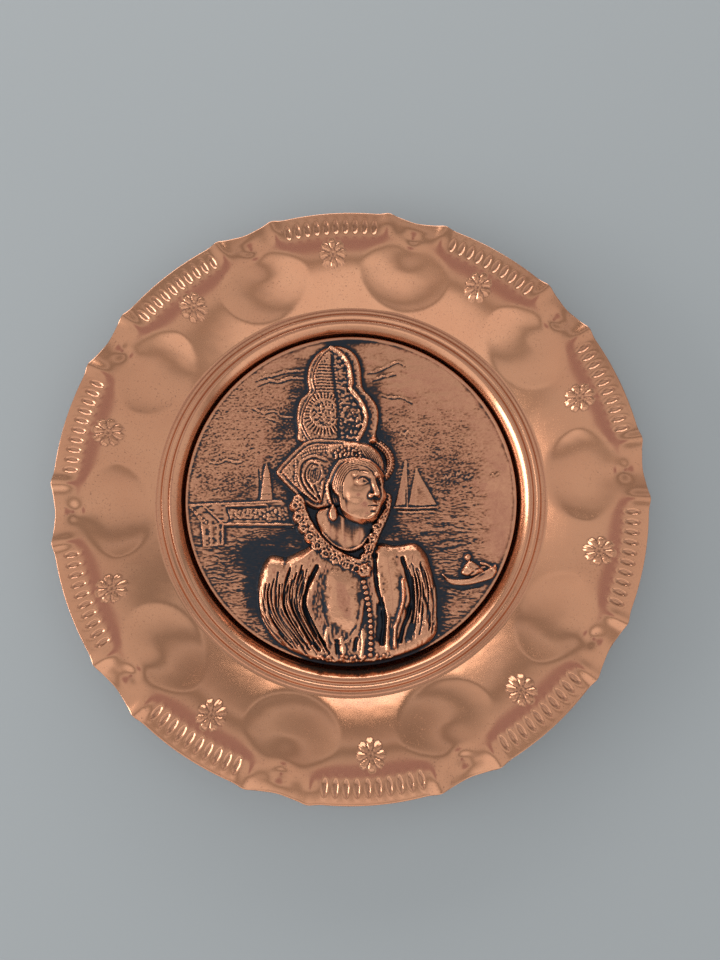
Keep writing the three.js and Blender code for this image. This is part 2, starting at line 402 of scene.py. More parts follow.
def spaced(points, pitch, side=0.0, smooth=True):
    """Places along a path at an even pitch, moved sideways to the left of its direction."""
    path = curve(points) if smooth else np.asarray(points, dtype=float)
    steps = np.diff(path, axis=0)
    run = np.concatenate([[0], np.cumsum(np.hypot(steps[:, 0], steps[:, 1]))])
    at = np.arange(pitch / 2, run[-1], pitch)
    places = np.stack([np.interp(at, run, path[:, 0]), np.interp(at, run, path[:, 1])], axis=1)
    ahead = np.stack([np.interp(at + 0.2, run, path[:, 0]), np.interp(at + 0.2, run, path[:, 1])], axis=1)
    behind = np.stack([np.interp(at - 0.2, run, path[:, 0]), np.interp(at - 0.2, run, path[:, 1])], axis=1)
    along = ahead - behind
    along /= np.maximum(np.hypot(along[:, 0], along[:, 1]), 1e-9)[:, None]
    return places + side * np.stack([-along[:, 1], along[:, 0]], axis=1)


def noise(x, y, seed):
    """Smooth noise from -1 to 1, with a swell for each unit of x and y."""
    table = np.random.default_rng(seed).uniform(-1, 1, (256, 256))
    column, row = np.floor(x).astype(int), np.floor(y).astype(int)
    u, v = x - column, y - row
    u, v = u * u * (3 - 2 * u), v * v * (3 - 2 * v)
    near = table[row & 255, column & 255] * (1 - u) + table[row & 255, (column + 1) & 255] * u
    far = table[(row + 1) & 255, column & 255] * (1 - u) + table[(row + 1) & 255, (column + 1) & 255] * u
    return near * (1 - v) + far * v


def spot(x0, y0, rx, ry, turn=0.0):
    """A soft round or oval patch, 1 in its middle."""
    c, s = math.cos(math.radians(turn)), math.sin(math.radians(turn))
    along = (GRID_X - x0) * c + (GRID_Y - y0) * s
    across = (GRID_Y - y0) * c - (GRID_X - x0) * s
    return np.exp(-((along / rx) ** 2) - (across / ry) ** 2)


def blur(field, radius):
    """Three running means, which come close to a bell-shaped blur."""
    half = max(1, int(round(radius / GRID_STEP)))
    for axis in (0, 1, 0, 1, 0, 1):
        before = np.repeat(field.take([0], axis), half + 1, axis)
        after = np.repeat(field.take([-1], axis), half, axis)
        padded = np.concatenate([before, field, after], axis)
        total = np.cumsum(padded, axis)
        size = field.shape[axis]
        upper = total.take(range(2 * half + 1, 2 * half + 1 + size), axis)
        field = (upper - total.take(range(size), axis)) / (2 * half + 1)
    return field


def mixed(start, end, share):
    return np.asarray(start) * (1 - share) + np.asarray(end) * share


# ---- Medallion: sea, sky, harbour and boats ------------------------------------------------------


def make_ground():
    """The sky and the sea, worked over with short strokes."""
    x, y = GRID_X, GRID_Y
    left = smoothstep(0, -12, x) * smoothstep(62, 34, y + 0.25 * x)
    right = smoothstep(8, 18, x) * smoothstep(70, 54, x + 0.12 * y) * smoothstep(60, 34, y + 0.15 * x)
    wobble = noise(x / 6, y / 4, 3)
    strokes = noise((x + 3 * wobble) / 2.6, (y + wobble) / 0.55, 5)
    strokes += 0.8 * noise((x - 2 * wobble) / 1.3, (y + wobble) / 0.42, 6)
    slanted = noise((x + 0.35 * y) / 1.7, (y - 0.35 * x) / 0.5, 7)
    leather = noise(x / 0.7, y / 0.5, 8) + 0.6 * noise(x / 0.45, y / 0.4, 10)
    swells = noise((x + 4 * wobble) / 9, (y + 0.8 * wobble) / 1.5, 14)
    sky = 0.10 * slanted + 0.09 * leather
    sea = 0.15 * strokes + 0.04 * leather + 0.14 * swells
    above = smoothstep(-6, 10, y)
    worked = np.clip(left + right, 0, 1) * (0.72 + 0.28 * noise(x / 7, y / 5, 13))
    field = worked * (sea * (1 - above) + (0.35 * sea + 0.8 * sky) * above)
    field += (1 - worked) * (0.03 * slanted + 0.02 * leather + 0.05 * noise(x / 5, y / 2.2, 9))
    return field + 0.2 * noise(x / 13, y / 9, 12), worked


def add_clouds(field):
    """Thin scratched wisps of cloud and a few gulls."""
    clouds = [
        [(-46, 58.4), (-41, 60.3), (-36, 61.2), (-31, 62.6), (-22.3, 63.4)],
        [(-45, 56.0), (-40, 58.0), (-34, 57.8), (-29, 59.6), (-23, 59.4)],
        [(-47.3, 44.8), (-42, 42.8), (-37, 43.6), (-33, 41.0), (-28.2, 40.7)],
        [(-42, 41.0), (-37, 39.2)],
        [(-68.7, 19.3), (-64, 18.7), (-60, 20.0), (-56, 18.9), (-52.6, 19.5)],
        [(7.4, 62.2), (12, 63.0), (18, 65.6), (22, 67.4), (25.3, 65.8)],
        [(10.0, 58.6), (15, 60.2), (21, 61.6)],
        [(14.5, 51.2), (19, 50.2), (24, 50.4), (28.8, 47.8)],
    ]
    random = np.random.default_rng(17)
    for cloud in clouds:
        for piece in range(2):
            line = np.asarray(spaced(cloud, 1.1)) + random.normal(0, 0.32, (len(spaced(cloud, 1.1)), 2))
            start = random.integers(0, 3)
            draw(field, line[start:], 0.24 + 0.12 * random.random(), 0.26)
        draw(field, np.asarray(cloud) + (0.3, -0.7), 0.4, -0.22)
    birds = [(25.3, 32.9, 2.0), (46.1, 11.9, 1.5), (56.2, 11.9, 1.5), (68.7, 12.7, 1.7), (51.5, 13.4, 1.0)]
    for x, y, size in birds:
        wings = [(x - size, y - 0.5), (x - size / 2, y + 0.5), (x, y - 0.3), (x + size, y + 0.9)]
        draw(field, wings, 0.32, 0.42)


def add_harbour(field):
    """A harbour wall with its masonry, a mole on posts, and a light tower."""
    rock = [
        (-78, -2), (-70, -1.6), (-34, 0.4), (-27, -2), (-26.5, -11), (-61, -11.2), (-61, -21), (-71, -22),
        (-72, -10),
    ]
    part, depth = depth_inside(np.array(rock))
    stones = 0.22 * noise(GRID_X[part] / 1.5, GRID_Y[part] / 1.05, 11)
    emboss(field, part, np.where(depth > 0, 0.25 * swell(depth, 0.6) + stones, -9))
    lines = [
        [(-77.5, -1.8), (-70, -1.4), (-50, -0.6), (-33.4, 0.3)],
        [(-70.6, -1.9), (-61.2, -10.9)],
        [(-61.2, -11.0), (-26.6, -11.2)],
        [(-61.2, -11.6), (-61.4, -20.5)],
        [(-59.5, -2.2), (-41, -1.6)],
    ]
    for line in lines:
        draw(field, line, 0.42, 0.75, smooth=False)
    draw(field, [(-61.0, -12.3), (-26.6, -12.4)], 0.5, -0.4, smooth=False)
    draw(field, [(-59.6, -3.2), (-40.8, -2.7)], 0.55, -0.45, smooth=False)
    draw(field, [(-60.0, -3.0), (-58.0, -8.6), (-41, -8.6)], 0.5, -0.4, smooth=False)
    draw(field, [(-69.5, -3.4), (-63.5, -9.4)], 0.9, -0.35, smooth=False)
    dots(field, spaced([(-77.6, -2.6), (-68.5, -11.0)], 1.5, smooth=False), 0.55, 0.55)
    random = np.random.default_rng(19)
    for row in range(4):
        stones = spaced([(-58, -4.2 - 1.35 * row), (-28, -3.9 - 1.35 * row)], 1.9, smooth=False)
        dots(field, stones + random.normal(0, 0.35, stones.shape), 0.75, 0.34)
    for x in (-70.6, -67.2, -63.8):
        draw(field, [(x, -11.4), (x + 0.3, -20.5)], 0.6, 0.35, smooth=False)
    tower = [
        (-40.6, 19.0), (-38.9, 13.5), (-38.3, 7.0), (-37.6, 0.6), (-43.4, 0.6), (-42.6, 8.0), (-41.9, 14.0),
    ]
    raised(field, np.array(tower), 0.2, 0.5, 1.2)
    draw(field, [(-44.4, 15.5), (-43.9, 8.0), (-44.4, 1.5)], 0.5, -0.35)
    for y in (3.5, 7.5, 11.5):
        draw(field, [(-42.4, y), (-38.4, y)], 0.35, -0.3, smooth=False)


def add_boats(field):
    """A sailing boat on the horizon, and a rowing boat with its rower."""
    sails = [
        [(31.2, 15.9), (33.6, 11.0), (37.1, 5.2), (40.7, -1.3), (34.0, -1.9), (27.6, -1.4), (29.2, 6.0)],
        [(25.8, 19.5), (26.2, 12.0), (25.9, 5.0), (25.8, -1.2), (21.1, -2.0), (23.6, 8.0)],
    ]
    for sail in sails:
        raised(field, np.array(sail), 0.15, 0.55, 2.6)
        draw(field, sail + sail[:1], 0.32, 0.32, smooth=False)
    draw(field, [(20.5, -2.9), (30, -3.3), (41.4, -2.7)], 0.42, 0.9)
    draw(field, [(22.7, -4.7), (30, -5.0), (39.6, -4.6)], 0.4, 0.6)
    draw(field, [(21.8, -3.8), (40.6, -3.7)], 0.5, -0.4, smooth=False)
    draw(field, [(26.3, 19.6), (26.9, -2.5)], 0.32, 0.35, smooth=False)
    draw(field, [(31.6, 16.0), (30.9, -2.5)], 0.3, 0.25, smooth=False)

    hull = [
        (43.9, -35.4), (47.9, -37.4), (56.2, -37.2), (61.5, -34.8), (69.5, -31.2), (68.4, -36.4),
        (62.0, -38.9), (54.0, -40.4), (47.0, -39.4),
    ]
    raised(field, curve(hull, closed=True), 0.2, 1.1, 1.6)
    draw(field, [(43.9, -35.4), (48.2, -37.8), (56.4, -37.5), (61.5, -34.9), (69.2, -30.9)], 0.45, 0.9)
    draw(field, [(45.0, -41.0), (54.0, -42.0), (63.0, -40.5)], 0.7, -0.45)
    rower = [
        (52.6, -34.6), (54.6, -30.2), (57.0, -28.4), (60.4, -30.4), (63.5, -33.4), (60.5, -35.2),
        (56.4, -36.0),
    ]
    raised(field, curve(rower, closed=True), 0.5, 1.9, 2.2)
    dots(field, [(55.9, -26.9)], 1.75, 1.9)
    draw(field, [(54.2, -30.5), (57.5, -33.0), (63.0, -33.6)], 0.55, 0.7)
    draw(field, [(56.6, -35.6), (60.0, -32.6), (64.2, -31.4)], 0.5, -0.7)
    draw(field, [(62.5, -29.8), (66.4, -31.2), (70.4, -34.8)], 0.55, 0.9)


# ---- Medallion: the figure -----------------------------------------------------------------------

WING = [
    (-10.6, 74.6), (-16.4, 71.0), (-20.3, 65.3), (-21.4, 58.9), (-20.8, 52.9), (-24.7, 48.9), (-26.3, 42.2),
    (-25.7, 35.1), (-22.6, 28.0), (9.4, 27.0), (12.0, 33.4), (13.1, 40.1), (12.5, 45.5), (9.6, 50.2),
    (5.9, 54.2), (5.0, 58.6), (4.4, 65.0), (2.2, 70.2), (-1.4, 73.4), (-6.0, 74.8),
]
LEFT_EDGE = [
    (-9.9, 73.6), (-13.2, 70.8), (-15.8, 67.3), (-17.6, 63.6), (-18.6, 59.6), (-18.2, 55.6), (-17.6, 52.6),
    (-20.4, 48.9), (-22.5, 44.8), (-23.6, 41.2), (-23.8, 36.8), (-21.8, 32.1), (-19.6, 28.7),
]
RIGHT_EDGE = [
    (-9.7, 73.6), (-5.9, 71.3), (-3.2, 68.8), (-1.2, 65.3), (-0.2, 60.9), (0.2, 56.9), (-0.1, 54.0),
    (2.4, 50.9), (5.2, 46.9), (6.9, 42.8), (7.1, 37.8), (5.6, 33.4), (3.2, 29.0),
]
PANEL_FOLD = [
    (-9.0, 72.0), (-8.9, 65.6), (-8.4, 58.9), (-7.2, 50.9), (-6.3, 44.5), (-6.1, 36.0), (-5.6, 29.0),
]
CAP = [
    (-35.9, 13.9), (-31.0, 20.2), (-25.9, 25.4), (-21.8, 28.8), (-17.0, 30.3), (-10.3, 30.0), (-3.7, 29.6),
    (2.9, 28.8), (8.7, 27.4), (13.0, 23.4), (15.4, 17.4), (15.2, 11.0), (12.0, 4.0), (0.0, -2.0),
    (-9.6, -2.6), (-13.9, -3.4), (-17.4, -3.9), (-22.3, -1.0), (-26.7, 3.2), (-31.1, 7.8),
]
FACE_FRAME = [(-5.2, 18.4), (-8.0, 14.8), (-9.8, 11.1), (-10.7, 6.7), (-10.2, 2.7), (-9.3, -1.5)]
FACE_OPENING = FACE_FRAME + [(-6.0, -6.0), (1.0, -9.8), (8.7, -11.0), (14.6, -6.0), (16.4, 2.0), (16.0, 10.0),
                             (11.0, 17.0), (4.0, 19.4)]
NECK = [
    (-14.8, -4.0), (-14.2, -15.4), (-8.0, -21.8), (-0.6, -24.4), (6.0, -21.4), (9.6, -14.0), (9.0, -4.0),
]
COLLAR_LEFT = [
    (-25.0, 0.2), (-24.0, -5.0), (-21.2, -11.4), (-16.2, -18.6), (-10.2, -24.3), (-2.6, -28.6),
    (4.6, -31.2),
]
COLLAR_RIGHT = [(6.4, -30.0), (10.0, -20.4), (13.2, -12.4), (16.4, -4.6), (17.2, 1.8)]
DRESS = [
    (-17.0, -20.8), (-22.7, -23.0), (-29.4, -26.0), (-33.0, -26.4), (-38.6, -26.0), (-42.6, -31.2),
    (-44.6, -40.6), (-44.2, -51.0), (-41.6, -58.6), (-36.4, -66.6), (-27.6, -72.4), (-15.0, -78.0),
    (0.0, -79.2), (13.0, -78.4), (29.5, -73.0), (40.4, -64.6), (41.2, -54.0), (40.8, -43.0), (38.4, -33.0),
    (35.6, -24.8), (30.0, -20.0), (21.0, -21.2), (13.2, -20.6), (4.0, -30.0), (-8.0, -27.0),
]
CHEST_LEFT = [
    (-12.0, -33.0), (-6.4, -31.4), (2.2, -35.6), (6.0, -44.0), (7.2, -54.6), (4.6, -61.4), (-3.2, -64.0),
    (-10.6, -58.0), (-13.6, -50.0), (-14.2, -41.0),
]
CHEST_RIGHT = [
    (13.4, -24.0), (20.6, -23.0), (23.6, -31.0), (24.8, -41.0), (24.4, -48.0), (21.4, -56.0), (17.6, -55.0),
    (14.4, -46.0), (12.2, -34.0),
]

# The head: where its chin is, its scale, how far it is turned, how flat it is pressed and how high it stands
HEAD_CHIN = (3.8, -10.2)
HEAD_SCALE = 1.07
HEAD_YAW = math.radians(34)
HEAD_FLATTENED = 0.5
HEAD_BASE = 3.3
FACE_WINDOW, FACE_DEPTH = depth_inside(curve(FACE_OPENING, closed=True))
FACE_SHARE = smoothstep(0.0, 2.0, FACE_DEPTH)


def add_headdress(field, dark):
    """A tall lobed lace headdress: a wing behind, and a folded front panel with a bright edge."""
    part, depth = depth_inside(curve(WING, closed=True))
    wing = 2.2 * swell(depth, 1.8) + 0.16 * noise(GRID_X[part] / 0.8, GRID_Y[part] / 0.8, 20)
    emboss(field, part, np.where(depth > 0, wing, -9))
    dots(field, spaced(WING[11:] + WING[:1], 1.5, side=1.3), 0.5, 0.4)
    dots(field, spaced(WING[:9], 1.5, side=1.2), 0.5, 0.4)

    outline = np.concatenate([curve(LEFT_EDGE)[::-1], curve(RIGHT_EDGE)[1:]])
    part, depth = depth_inside(outline)
    x, y = GRID_X[part], GRID_Y[part]
    fold = distance(curve(PANEL_FOLD), part)
    fold_x = np.interp(-y, [-knot[1] for knot in PANEL_FOLD], [knot[0] for knot in PANEL_FOLD])
    right_half = smoothstep(0.0, 2.5, x - fold_x)
    out = np.hypot(x + 12.6, y - 41.8)
    turn = np.arctan2(y - 41.8, x + 12.6)
    ribs = 0.42 * np.cos(turn * 34) * smoothstep(6.9, 7.4, out) * smoothstep(10.8, 10.2, out)
    ribs += 0.5 * np.exp(-(((out - 6.6) / 0.45) ** 2))
    inner = 0.5 * noise(x / 0.75, y / 0.75, 21) * smoothstep(6.4, 5.8, out)
    upper = smoothstep(50.5, 52.5, y)
    stitches = 0.4 * np.cos(y * 4.3 + 0.4 * np.sin(x)) * upper * smoothstep(67, 65, y)
    stitches += 0.3 * noise(x / 0.7, y / 0.7, 22)
    left_lace = (ribs + inner) * (1 - upper) + stitches
    right_lace = 0.55 * noise(x / 0.9, y / 0.9, 23) + 0.2 * np.cos(np.hypot(x - 1.5, y - 41) * 2.3)
    lace = left_lace * (1 - right_half) + right_lace * right_half
    body = 3.3 * swell(depth, 1.7) - 0.9 * right_half * smoothstep(0.5, 2.5, depth)
    body -= 1.5 * np.exp(-((fold / 1.0) ** 2)) * smoothstep(73, 68, y)
    emboss(field, part, np.where(depth > 0, body + lace * smoothstep(0.3, 1.2, depth), -9))
    # Painted shade: the panel's right half, beside the fold, is darkened as the fold's shadow; the dark line
    # along the fold itself is patina in the crease
    dark[part] += np.where(depth > 0, 0.32 * right_half + 0.5 * np.exp(-((fold / 1.3) ** 2)), 0)

    draw(field, RIGHT_EDGE, 0.85, 1.5)
    dots(field, spaced(RIGHT_EDGE, 1.15), 0.5, 0.4)
    draw(field, spaced(RIGHT_EDGE, 0.8, side=-1.9), 0.5, -0.5, smooth=False)
    draw(field, LEFT_EDGE, 0.45, 0.7)
    dots(field, spaced(LEFT_EDGE, 1.3, side=1.2), 0.55, 0.55)


def add_cap(field, dark):
    """A close cap drawn out to a point at the back: a coiled bun, worked bands, a lace front and a frill."""
    frill = [(10.4, 28.8), (14.6, 26.4), (17.8, 22.6), (18.8, 18.0), (17.4, 13.6), (15.6, 11.4)]
    draw(field, frill, 1.7, 2.6)
    for side in (-1.5, 0.0, 1.5):
        dots(field, spaced(frill, 1.4, side=side), 0.6, 0.6)

    part, depth = depth_inside(curve(CAP, closed=True))
    x, y = GRID_X[part], GRID_Y[part]
    grain = 0.2 * noise(x / 0.8, y / 0.8, 31)
    body = 1.2 + 3.2 * swell(depth, 7.0) + grain * smoothstep(0, 1, depth)
    emboss(field, part, np.where(depth > 0, body, -9))
    dark[part] += np.where(depth > 0, 0.1, 0)

    edge_top = [
        (-35.0, 14.0), (-30.6, 19.4), (-25.6, 24.4), (-21.4, 27.6), (-16.6, 29.0), (-10.2, 28.8),
        (-3.6, 28.4),
    ]
    edge_low = [(-34.6, 13.0), (-30.6, 8.6), (-26.2, 4.2), (-21.8, 0.2), (-17.2, -2.6), (-13.6, -2.4)]
    for edge, side in ((edge_top, -0.6), (edge_low, 0.6)):
        draw(field, edge, 0.5, 0.55)
        draw(field, spaced(edge, 0.8, side=2.2 * side), 0.45, -0.5, smooth=False)
        dots(field, spaced(edge, 1.25, side=3.8 * side), 0.5, 0.5)
    bun_x, bun_y = -17.4, 12.8
    angle = np.linspace(0, 2 * math.pi, 30)
    loop = np.stack([bun_x + 3.7 * np.cos(angle) + 0.4 * np.sin(angle), bun_y + 4.9 * np.sin(angle)], axis=1)
    draw(field, loop, 0.42, 0.7, smooth=False)
    field -= 0.9 * spot(bun_x, bun_y, 3.0, 4.2)
    for across in (-2.2, -1.1, 0.0, 1.1, 2.2):
        strand = np.array([(0.5 * across + 0.9, 3.8), (across, 0.4), (0.7 * across - 0.6, -3.8)])
        strand += (bun_x, bun_y)
        draw(field, strand, 0.36, 0.42)
    dark += 0.3 * spot(bun_x, bun_y, 3.4, 4.6)
    locks = [
        [(-14.6, 17.4), (-19.0, 18.6), (-22.0, 15.2), (-22.6, 10.6), (-20.4, 6.0), (-15.2, 0.0)],
        [(-12.4, 19.8), (-18.6, 21.2), (-23.8, 17.8), (-24.8, 11.0), (-22.0, 4.6), (-16.6, -0.8)],
        [(-13.4, 8.6), (-13.8, 4.4), (-14.8, -1.0)],
        [(-18.4, 7.4), (-17.0, 4.0), (-15.0, -0.8)],
    ]
    for lock in locks:
        draw(field, lock, 0.5, 0.6)
        draw(field, spaced(lock, 0.8, side=1.0), 0.42, -0.55, smooth=False)
    dots(field, spaced([(-26.4, 20.6), (-25.8, 15.0), (-26.2, 10.0), (-24.6, 5.6)], 1.3), 0.6, 0.6)
    knot = np.linspace(0, 2 * math.pi, 24)
    for scale in (1.0, 0.5):
        loop = np.stack([-30.2 + scale * 2.3 * np.cos(knot), 13.4 + scale * 2.8 * np.sin(knot)], axis=1)
        draw(field, loop, 0.4, 0.45, smooth=False)
    band = [(-23.6, 21.6), (-18.6, 23.8), (-13.0, 24.4), (-8.6, 24.6)]
    for side in (-0.8, 0.8):
        dots(field, spaced(band, 1.2, side=side), 0.52, 0.55)

    hair = [(-9.6, 24.6), (-6.0, 26.4), (0.0, 26.4), (6.0, 25.6), (11.0, 22.6), (14.4, 17.4), (15.2, 12.0)]
    draw(field, hair, 2.4, 1.1)
    for number in range(9):
        share = number / 8
        start = mixed((3.4, 26.6), (9.0, 26.6), share)
        middle = mixed((7.4, 20.6), (15.4, 20.4), share)
        end = mixed((11.6, 14.2), (15.8, 9.8), share)
        draw(field, [start, middle, end], 0.34, 0.55)
        draw(field, np.asarray([start, middle, end]) + (0.45, 0.1), 0.25, -0.45)


def lace_front(field):
    """Bright lace over the forehead, and the small frill that frames the face."""
    random = np.random.default_rng(23)
    for radius, count in ((0.0, 1), (1.5, 7), (3.0, 13), (4.5, 19)):
        for number in range(count):
            angle = 2 * math.pi * number / count + radius
            place = (-1.2 + 1.3 * radius * math.cos(angle), 21.6 + 0.92 * radius * math.sin(angle))
            dots(field, [np.asarray(place) + random.normal(0, 0.15, 2)], 0.72, 0.8)
    draw(field, FACE_FRAME, 0.85, 1.1)
    dots(field, spaced(FACE_FRAME, 1.15), 0.58, 0.6)
    near_hair = [(3.4, 18.4), (-2.0, 17.4), (-6.0, 13.6), (-8.2, 8.0), (-8.4, 2.6), (-7.6, -1.4)]
    far_hair = [(3.4, 18.4), (8.2, 17.2), (12.0, 14.2), (14.2, 10.0)]
    for line, step, count in ((near_hair, 0.95, 5), (far_hair, -0.95, 3)):
        draw(field, spaced(line, 0.8, side=step * (count - 1) / 2), 0.5 * count, 0.9, smooth=False)
        for strand in range(count):
            draw(field, spaced(line, 0.8, side=step * strand), 0.3, 0.5, smooth=False)
            draw(field, spaced(line, 0.8, side=step * (strand + 0.5)), 0.24, -0.5, smooth=False)
    drop = [(-8.6, -1.6), (-10.6, -5.4), (-10.2, -8.6), (-8.4, -10.0), (-6.6, -8.4), (-6.4, -5.4)]
    raised(field, curve(drop, closed=True), 4.6, 1.5, 1.6)
    for x in (-9.4, -8.4, -7.4):
        draw(field, [(x + 0.3, -3.6), (x, -6.4), (x + 0.4, -9.0)], 0.28, 0.4)


def smooth_union(first, second, softness):
    share = np.clip(0.5 + 0.5 * (second - first) / softness, 0, 1)
    return second + (first - second) * share - softness * share * (1 - share)


def ellipsoid(place, centre, radii):
    radii = np.asarray(radii, dtype=float)
    return (np.linalg.norm((place - centre) / radii, axis=-1) - 1) * radii.min()


def capsule(place, start, end, start_radius, end_radius):
    start, end = np.asarray(start, dtype=float), np.asarray(end, dtype=float)
    along = end - start
    share = np.clip((place - start) @ along / (along @ along), 0, 1)
    nearest = start + share[..., None] * along
    return np.linalg.norm(place - nearest, axis=-1) - (start_radius + (end_radius - start_radius) * share)


def head_distance(place):
    """A plain classical head, 36 mm high with its chin at 0: the usual thirds, and eyes half way up."""
    mirrored = place.copy()
    mirrored[..., 0] = np.abs(mirrored[..., 0])
    head = ellipsoid(place, (0, 22.0, -3.5), (11.6, 13.6, 14.0))
    head = smooth_union(head, ellipsoid(place, (0, 13.8, 1.6), (9.9, 14.4, 10.0)), 2.0)
    head = smooth_union(head, ellipsoid(place, (0, 6.6, 1.6), (7.9, 6.6, 8.8)), 2.5)
    head = smooth_union(head, ellipsoid(place, (0, 2.4, 8.2), (3.0, 2.5, 2.7)), 2.2)
    head = smooth_union(head, ellipsoid(mirrored, (5.4, 11.6, 6.9), (3.4, 3.0, 3.6)), 2.6)
    head = smooth_union(head, ellipsoid(place, (0, 7.0, 7.9), (4.2, 3.4, 3.6)), 2.0)
    head = smooth_union(head, capsule(mirrored, (1.4, 20.0, 10.2), (6.8, 20.5, 7.6), 1.2, 0.9), 1.3)
    head = -smooth_union(-head, ellipsoid(mirrored, (4.7, 17.7, 12.2), (3.3, 2.1, 2.5)), 1.4)
    ball = ellipsoid(mirrored, (4.8, 17.3, 8.0), (2.6, 2.5, 2.5))
    head = smooth_union(head, ball, 0.8)
    head = smooth_union(head, capsule(place, (0, 18.8, 10.3), (0, 12.1, 13.6), 0.9, 1.45), 0.9)
    head = smooth_union(head, ellipsoid(mirrored, (1.8, 11.1, 11.6), (1.15, 1.1, 1.6)), 0.5)
    head = -smooth_union(-head, ellipsoid(mirrored, (1.0, 10.0, 12.6), (0.6, 0.5, 0.9)), 0.3)
    head = smooth_union(head, capsule(mirrored, (0, 7.5, 11.9), (3.3, 6.95, 10.3), 0.8, 0.4), 0.3)
    head = smooth_union(head, capsule(mirrored, (0, 5.6, 11.7), (2.8, 6.35, 10.3), 1.0, 0.45), 0.3)
    return head


def on_face(side, up, forward):
    """Where a place of the head comes to lie on the medallion."""
    across = side * math.cos(HEAD_YAW) + forward * math.sin(HEAD_YAW)
    return HEAD_CHIN[0] + HEAD_SCALE * across, HEAD_CHIN[1] + HEAD_SCALE * up


def face_line(field, middle, half_width, rise, width, height):
    """A line across the face that bows up by rise over its middle, or down where rise is negative."""
    side, up, forward = middle
    points = []
    for t in np.linspace(-1, 1, 9):
        points.append(on_face(side + half_width * t, up + rise * (1 - t * t), forward - 0.12 * abs(side * t)))
    draw(field, points, width, height)


def draw_features(field):
    """Calm, half-lowered lids, soft brows and closed lips, set out by the usual proportions."""
    for side in (-4.8, 4.8):
        face_line(field, (side, 17.2, 10.6), 2.5, 1.25, 0.34, 0.55)
        face_line(field, (side, 17.2, 10.6), 2.3, -0.85, 0.3, 0.35)
        face_line(field, (side, 18.3, 10.6), 2.7, 1.1, 0.28, -0.4)
        face_line(field, (side * 1.05, 20.2, 10.2), 3.3, 0.9, 0.5, 0.35)
        dots(field, [on_face(side, 17.4, 10.8)], 0.7, -0.45)
    face_line(field, (0, 6.7, 11.8), 3.1, 0.15, 0.26, -0.55)
    face_line(field, (0, 4.3, 11.4), 1.6, -0.3, 0.4, -0.25)


def add_head(field, dark):
    """The head seen three-quarters from its right, flattened as a relief is."""
    part, inside = depth_inside(curve(FACE_OPENING, closed=True), margin=3.0)
    share = smoothstep(-0.6, 0.6, inside)
    field[part] = field[part] * (1 - share) + np.minimum(field[part], 2.6) * share
    across = (GRID_X[part] - HEAD_CHIN[0]) / HEAD_SCALE
    up = (GRID_Y[part] - HEAD_CHIN[1]) / HEAD_SCALE
    depth = np.full(across.shape, 18.0)
    for step in range(70):
        sideways = across * math.cos(HEAD_YAW) - depth * math.sin(HEAD_YAW)
        forward = across * math.sin(HEAD_YAW) + depth * math.cos(HEAD_YAW)
        gap = head_distance(np.stack([sideways, up, forward], axis=-1))
        depth = np.maximum(depth - 0.75 * gap, -12.0)
    height = HEAD_BASE + HEAD_FLATTENED * HEAD_SCALE * (depth + 2.0)
    height += 1.1 * (height - blur(height, 1.3)) * smoothstep(1.0, 2.6, inside)
    emboss(field, part, np.where((depth > -8.0) & (inside > -0.4), height, -9))
    dark[part] -= np.where(inside > 0, 0.25, 0)
    draw_features(field)


def add_neck_and_collar(field):
    """The neck with a necklace, and a lace collar of scallops that ends in a brooch."""
    part, depth = depth_inside(curve(NECK, closed=True))
    x = GRID_X[part]
    tendons = 0.3 * np.cos((x + 3.0) * 0.85)
    emboss(field, part, np.where(depth > 0, 2.0 + 1.9 * swell(depth, 6.0) + tendons, -9))
    necklace = [(-13.8, -15.4), (-8.0, -21.0), (-1.4, -23.6), (4.6, -21.6), (8.0, -17.0)]
    draw(field, necklace, 0.45, 0.8)
    dots(field, spaced(necklace, 1.1), 0.45, 0.4)

    random = np.random.default_rng(43)
    for line, half, height in ((COLLAR_LEFT, 3.5, 4.9), (COLLAR_RIGHT, 2.5, 4.7)):
        path = curve(line)
        part = window(path, half + 2)
        x, y = GRID_X[part], GRID_Y[part]
        away = distance(path, part)
        outer = -1 if line is COLLAR_LEFT else 1
        nearest = np.full(away.shape, 99.0)
        for sx, sy in spaced(line, 5.2, side=outer * half * 0.5):
            nearest = np.minimum(nearest, np.hypot(x - sx, y - sy))
        band = np.maximum(half * 0.92 - away, half * 0.95 - nearest)
        lace = 0.55 * noise(x / 0.75, y / 0.75, 41) + 0.3 * noise(x / 1.6, y / 1.6, 42)
        lace += 0.3 * np.cos(nearest * 4.0)
        body = height * swell(band, 1.3) + lace * smoothstep(0.1, 0.9, band)
        emboss(field, part, np.where(band > 0, body, -9))
        for side in (-0.75, 0.0, 0.75):
            knots = spaced(line, 1.55, side=side * half)
            dots(field, knots + random.normal(0, 0.3, knots.shape), 0.62, 0.65)

    brooch = (6.2, -33.4)
    dots(field, [brooch], 3.4, 1.6)
    for petal in range(6):
        angle = math.radians(60 * petal + 15)
        place = (brooch[0] + 2.5 * math.cos(angle), brooch[1] + 2.5 * math.sin(angle))
        dots(field, [place], 1.35, 1.0)
    dots(field, [brooch], 1.2, 0.9)


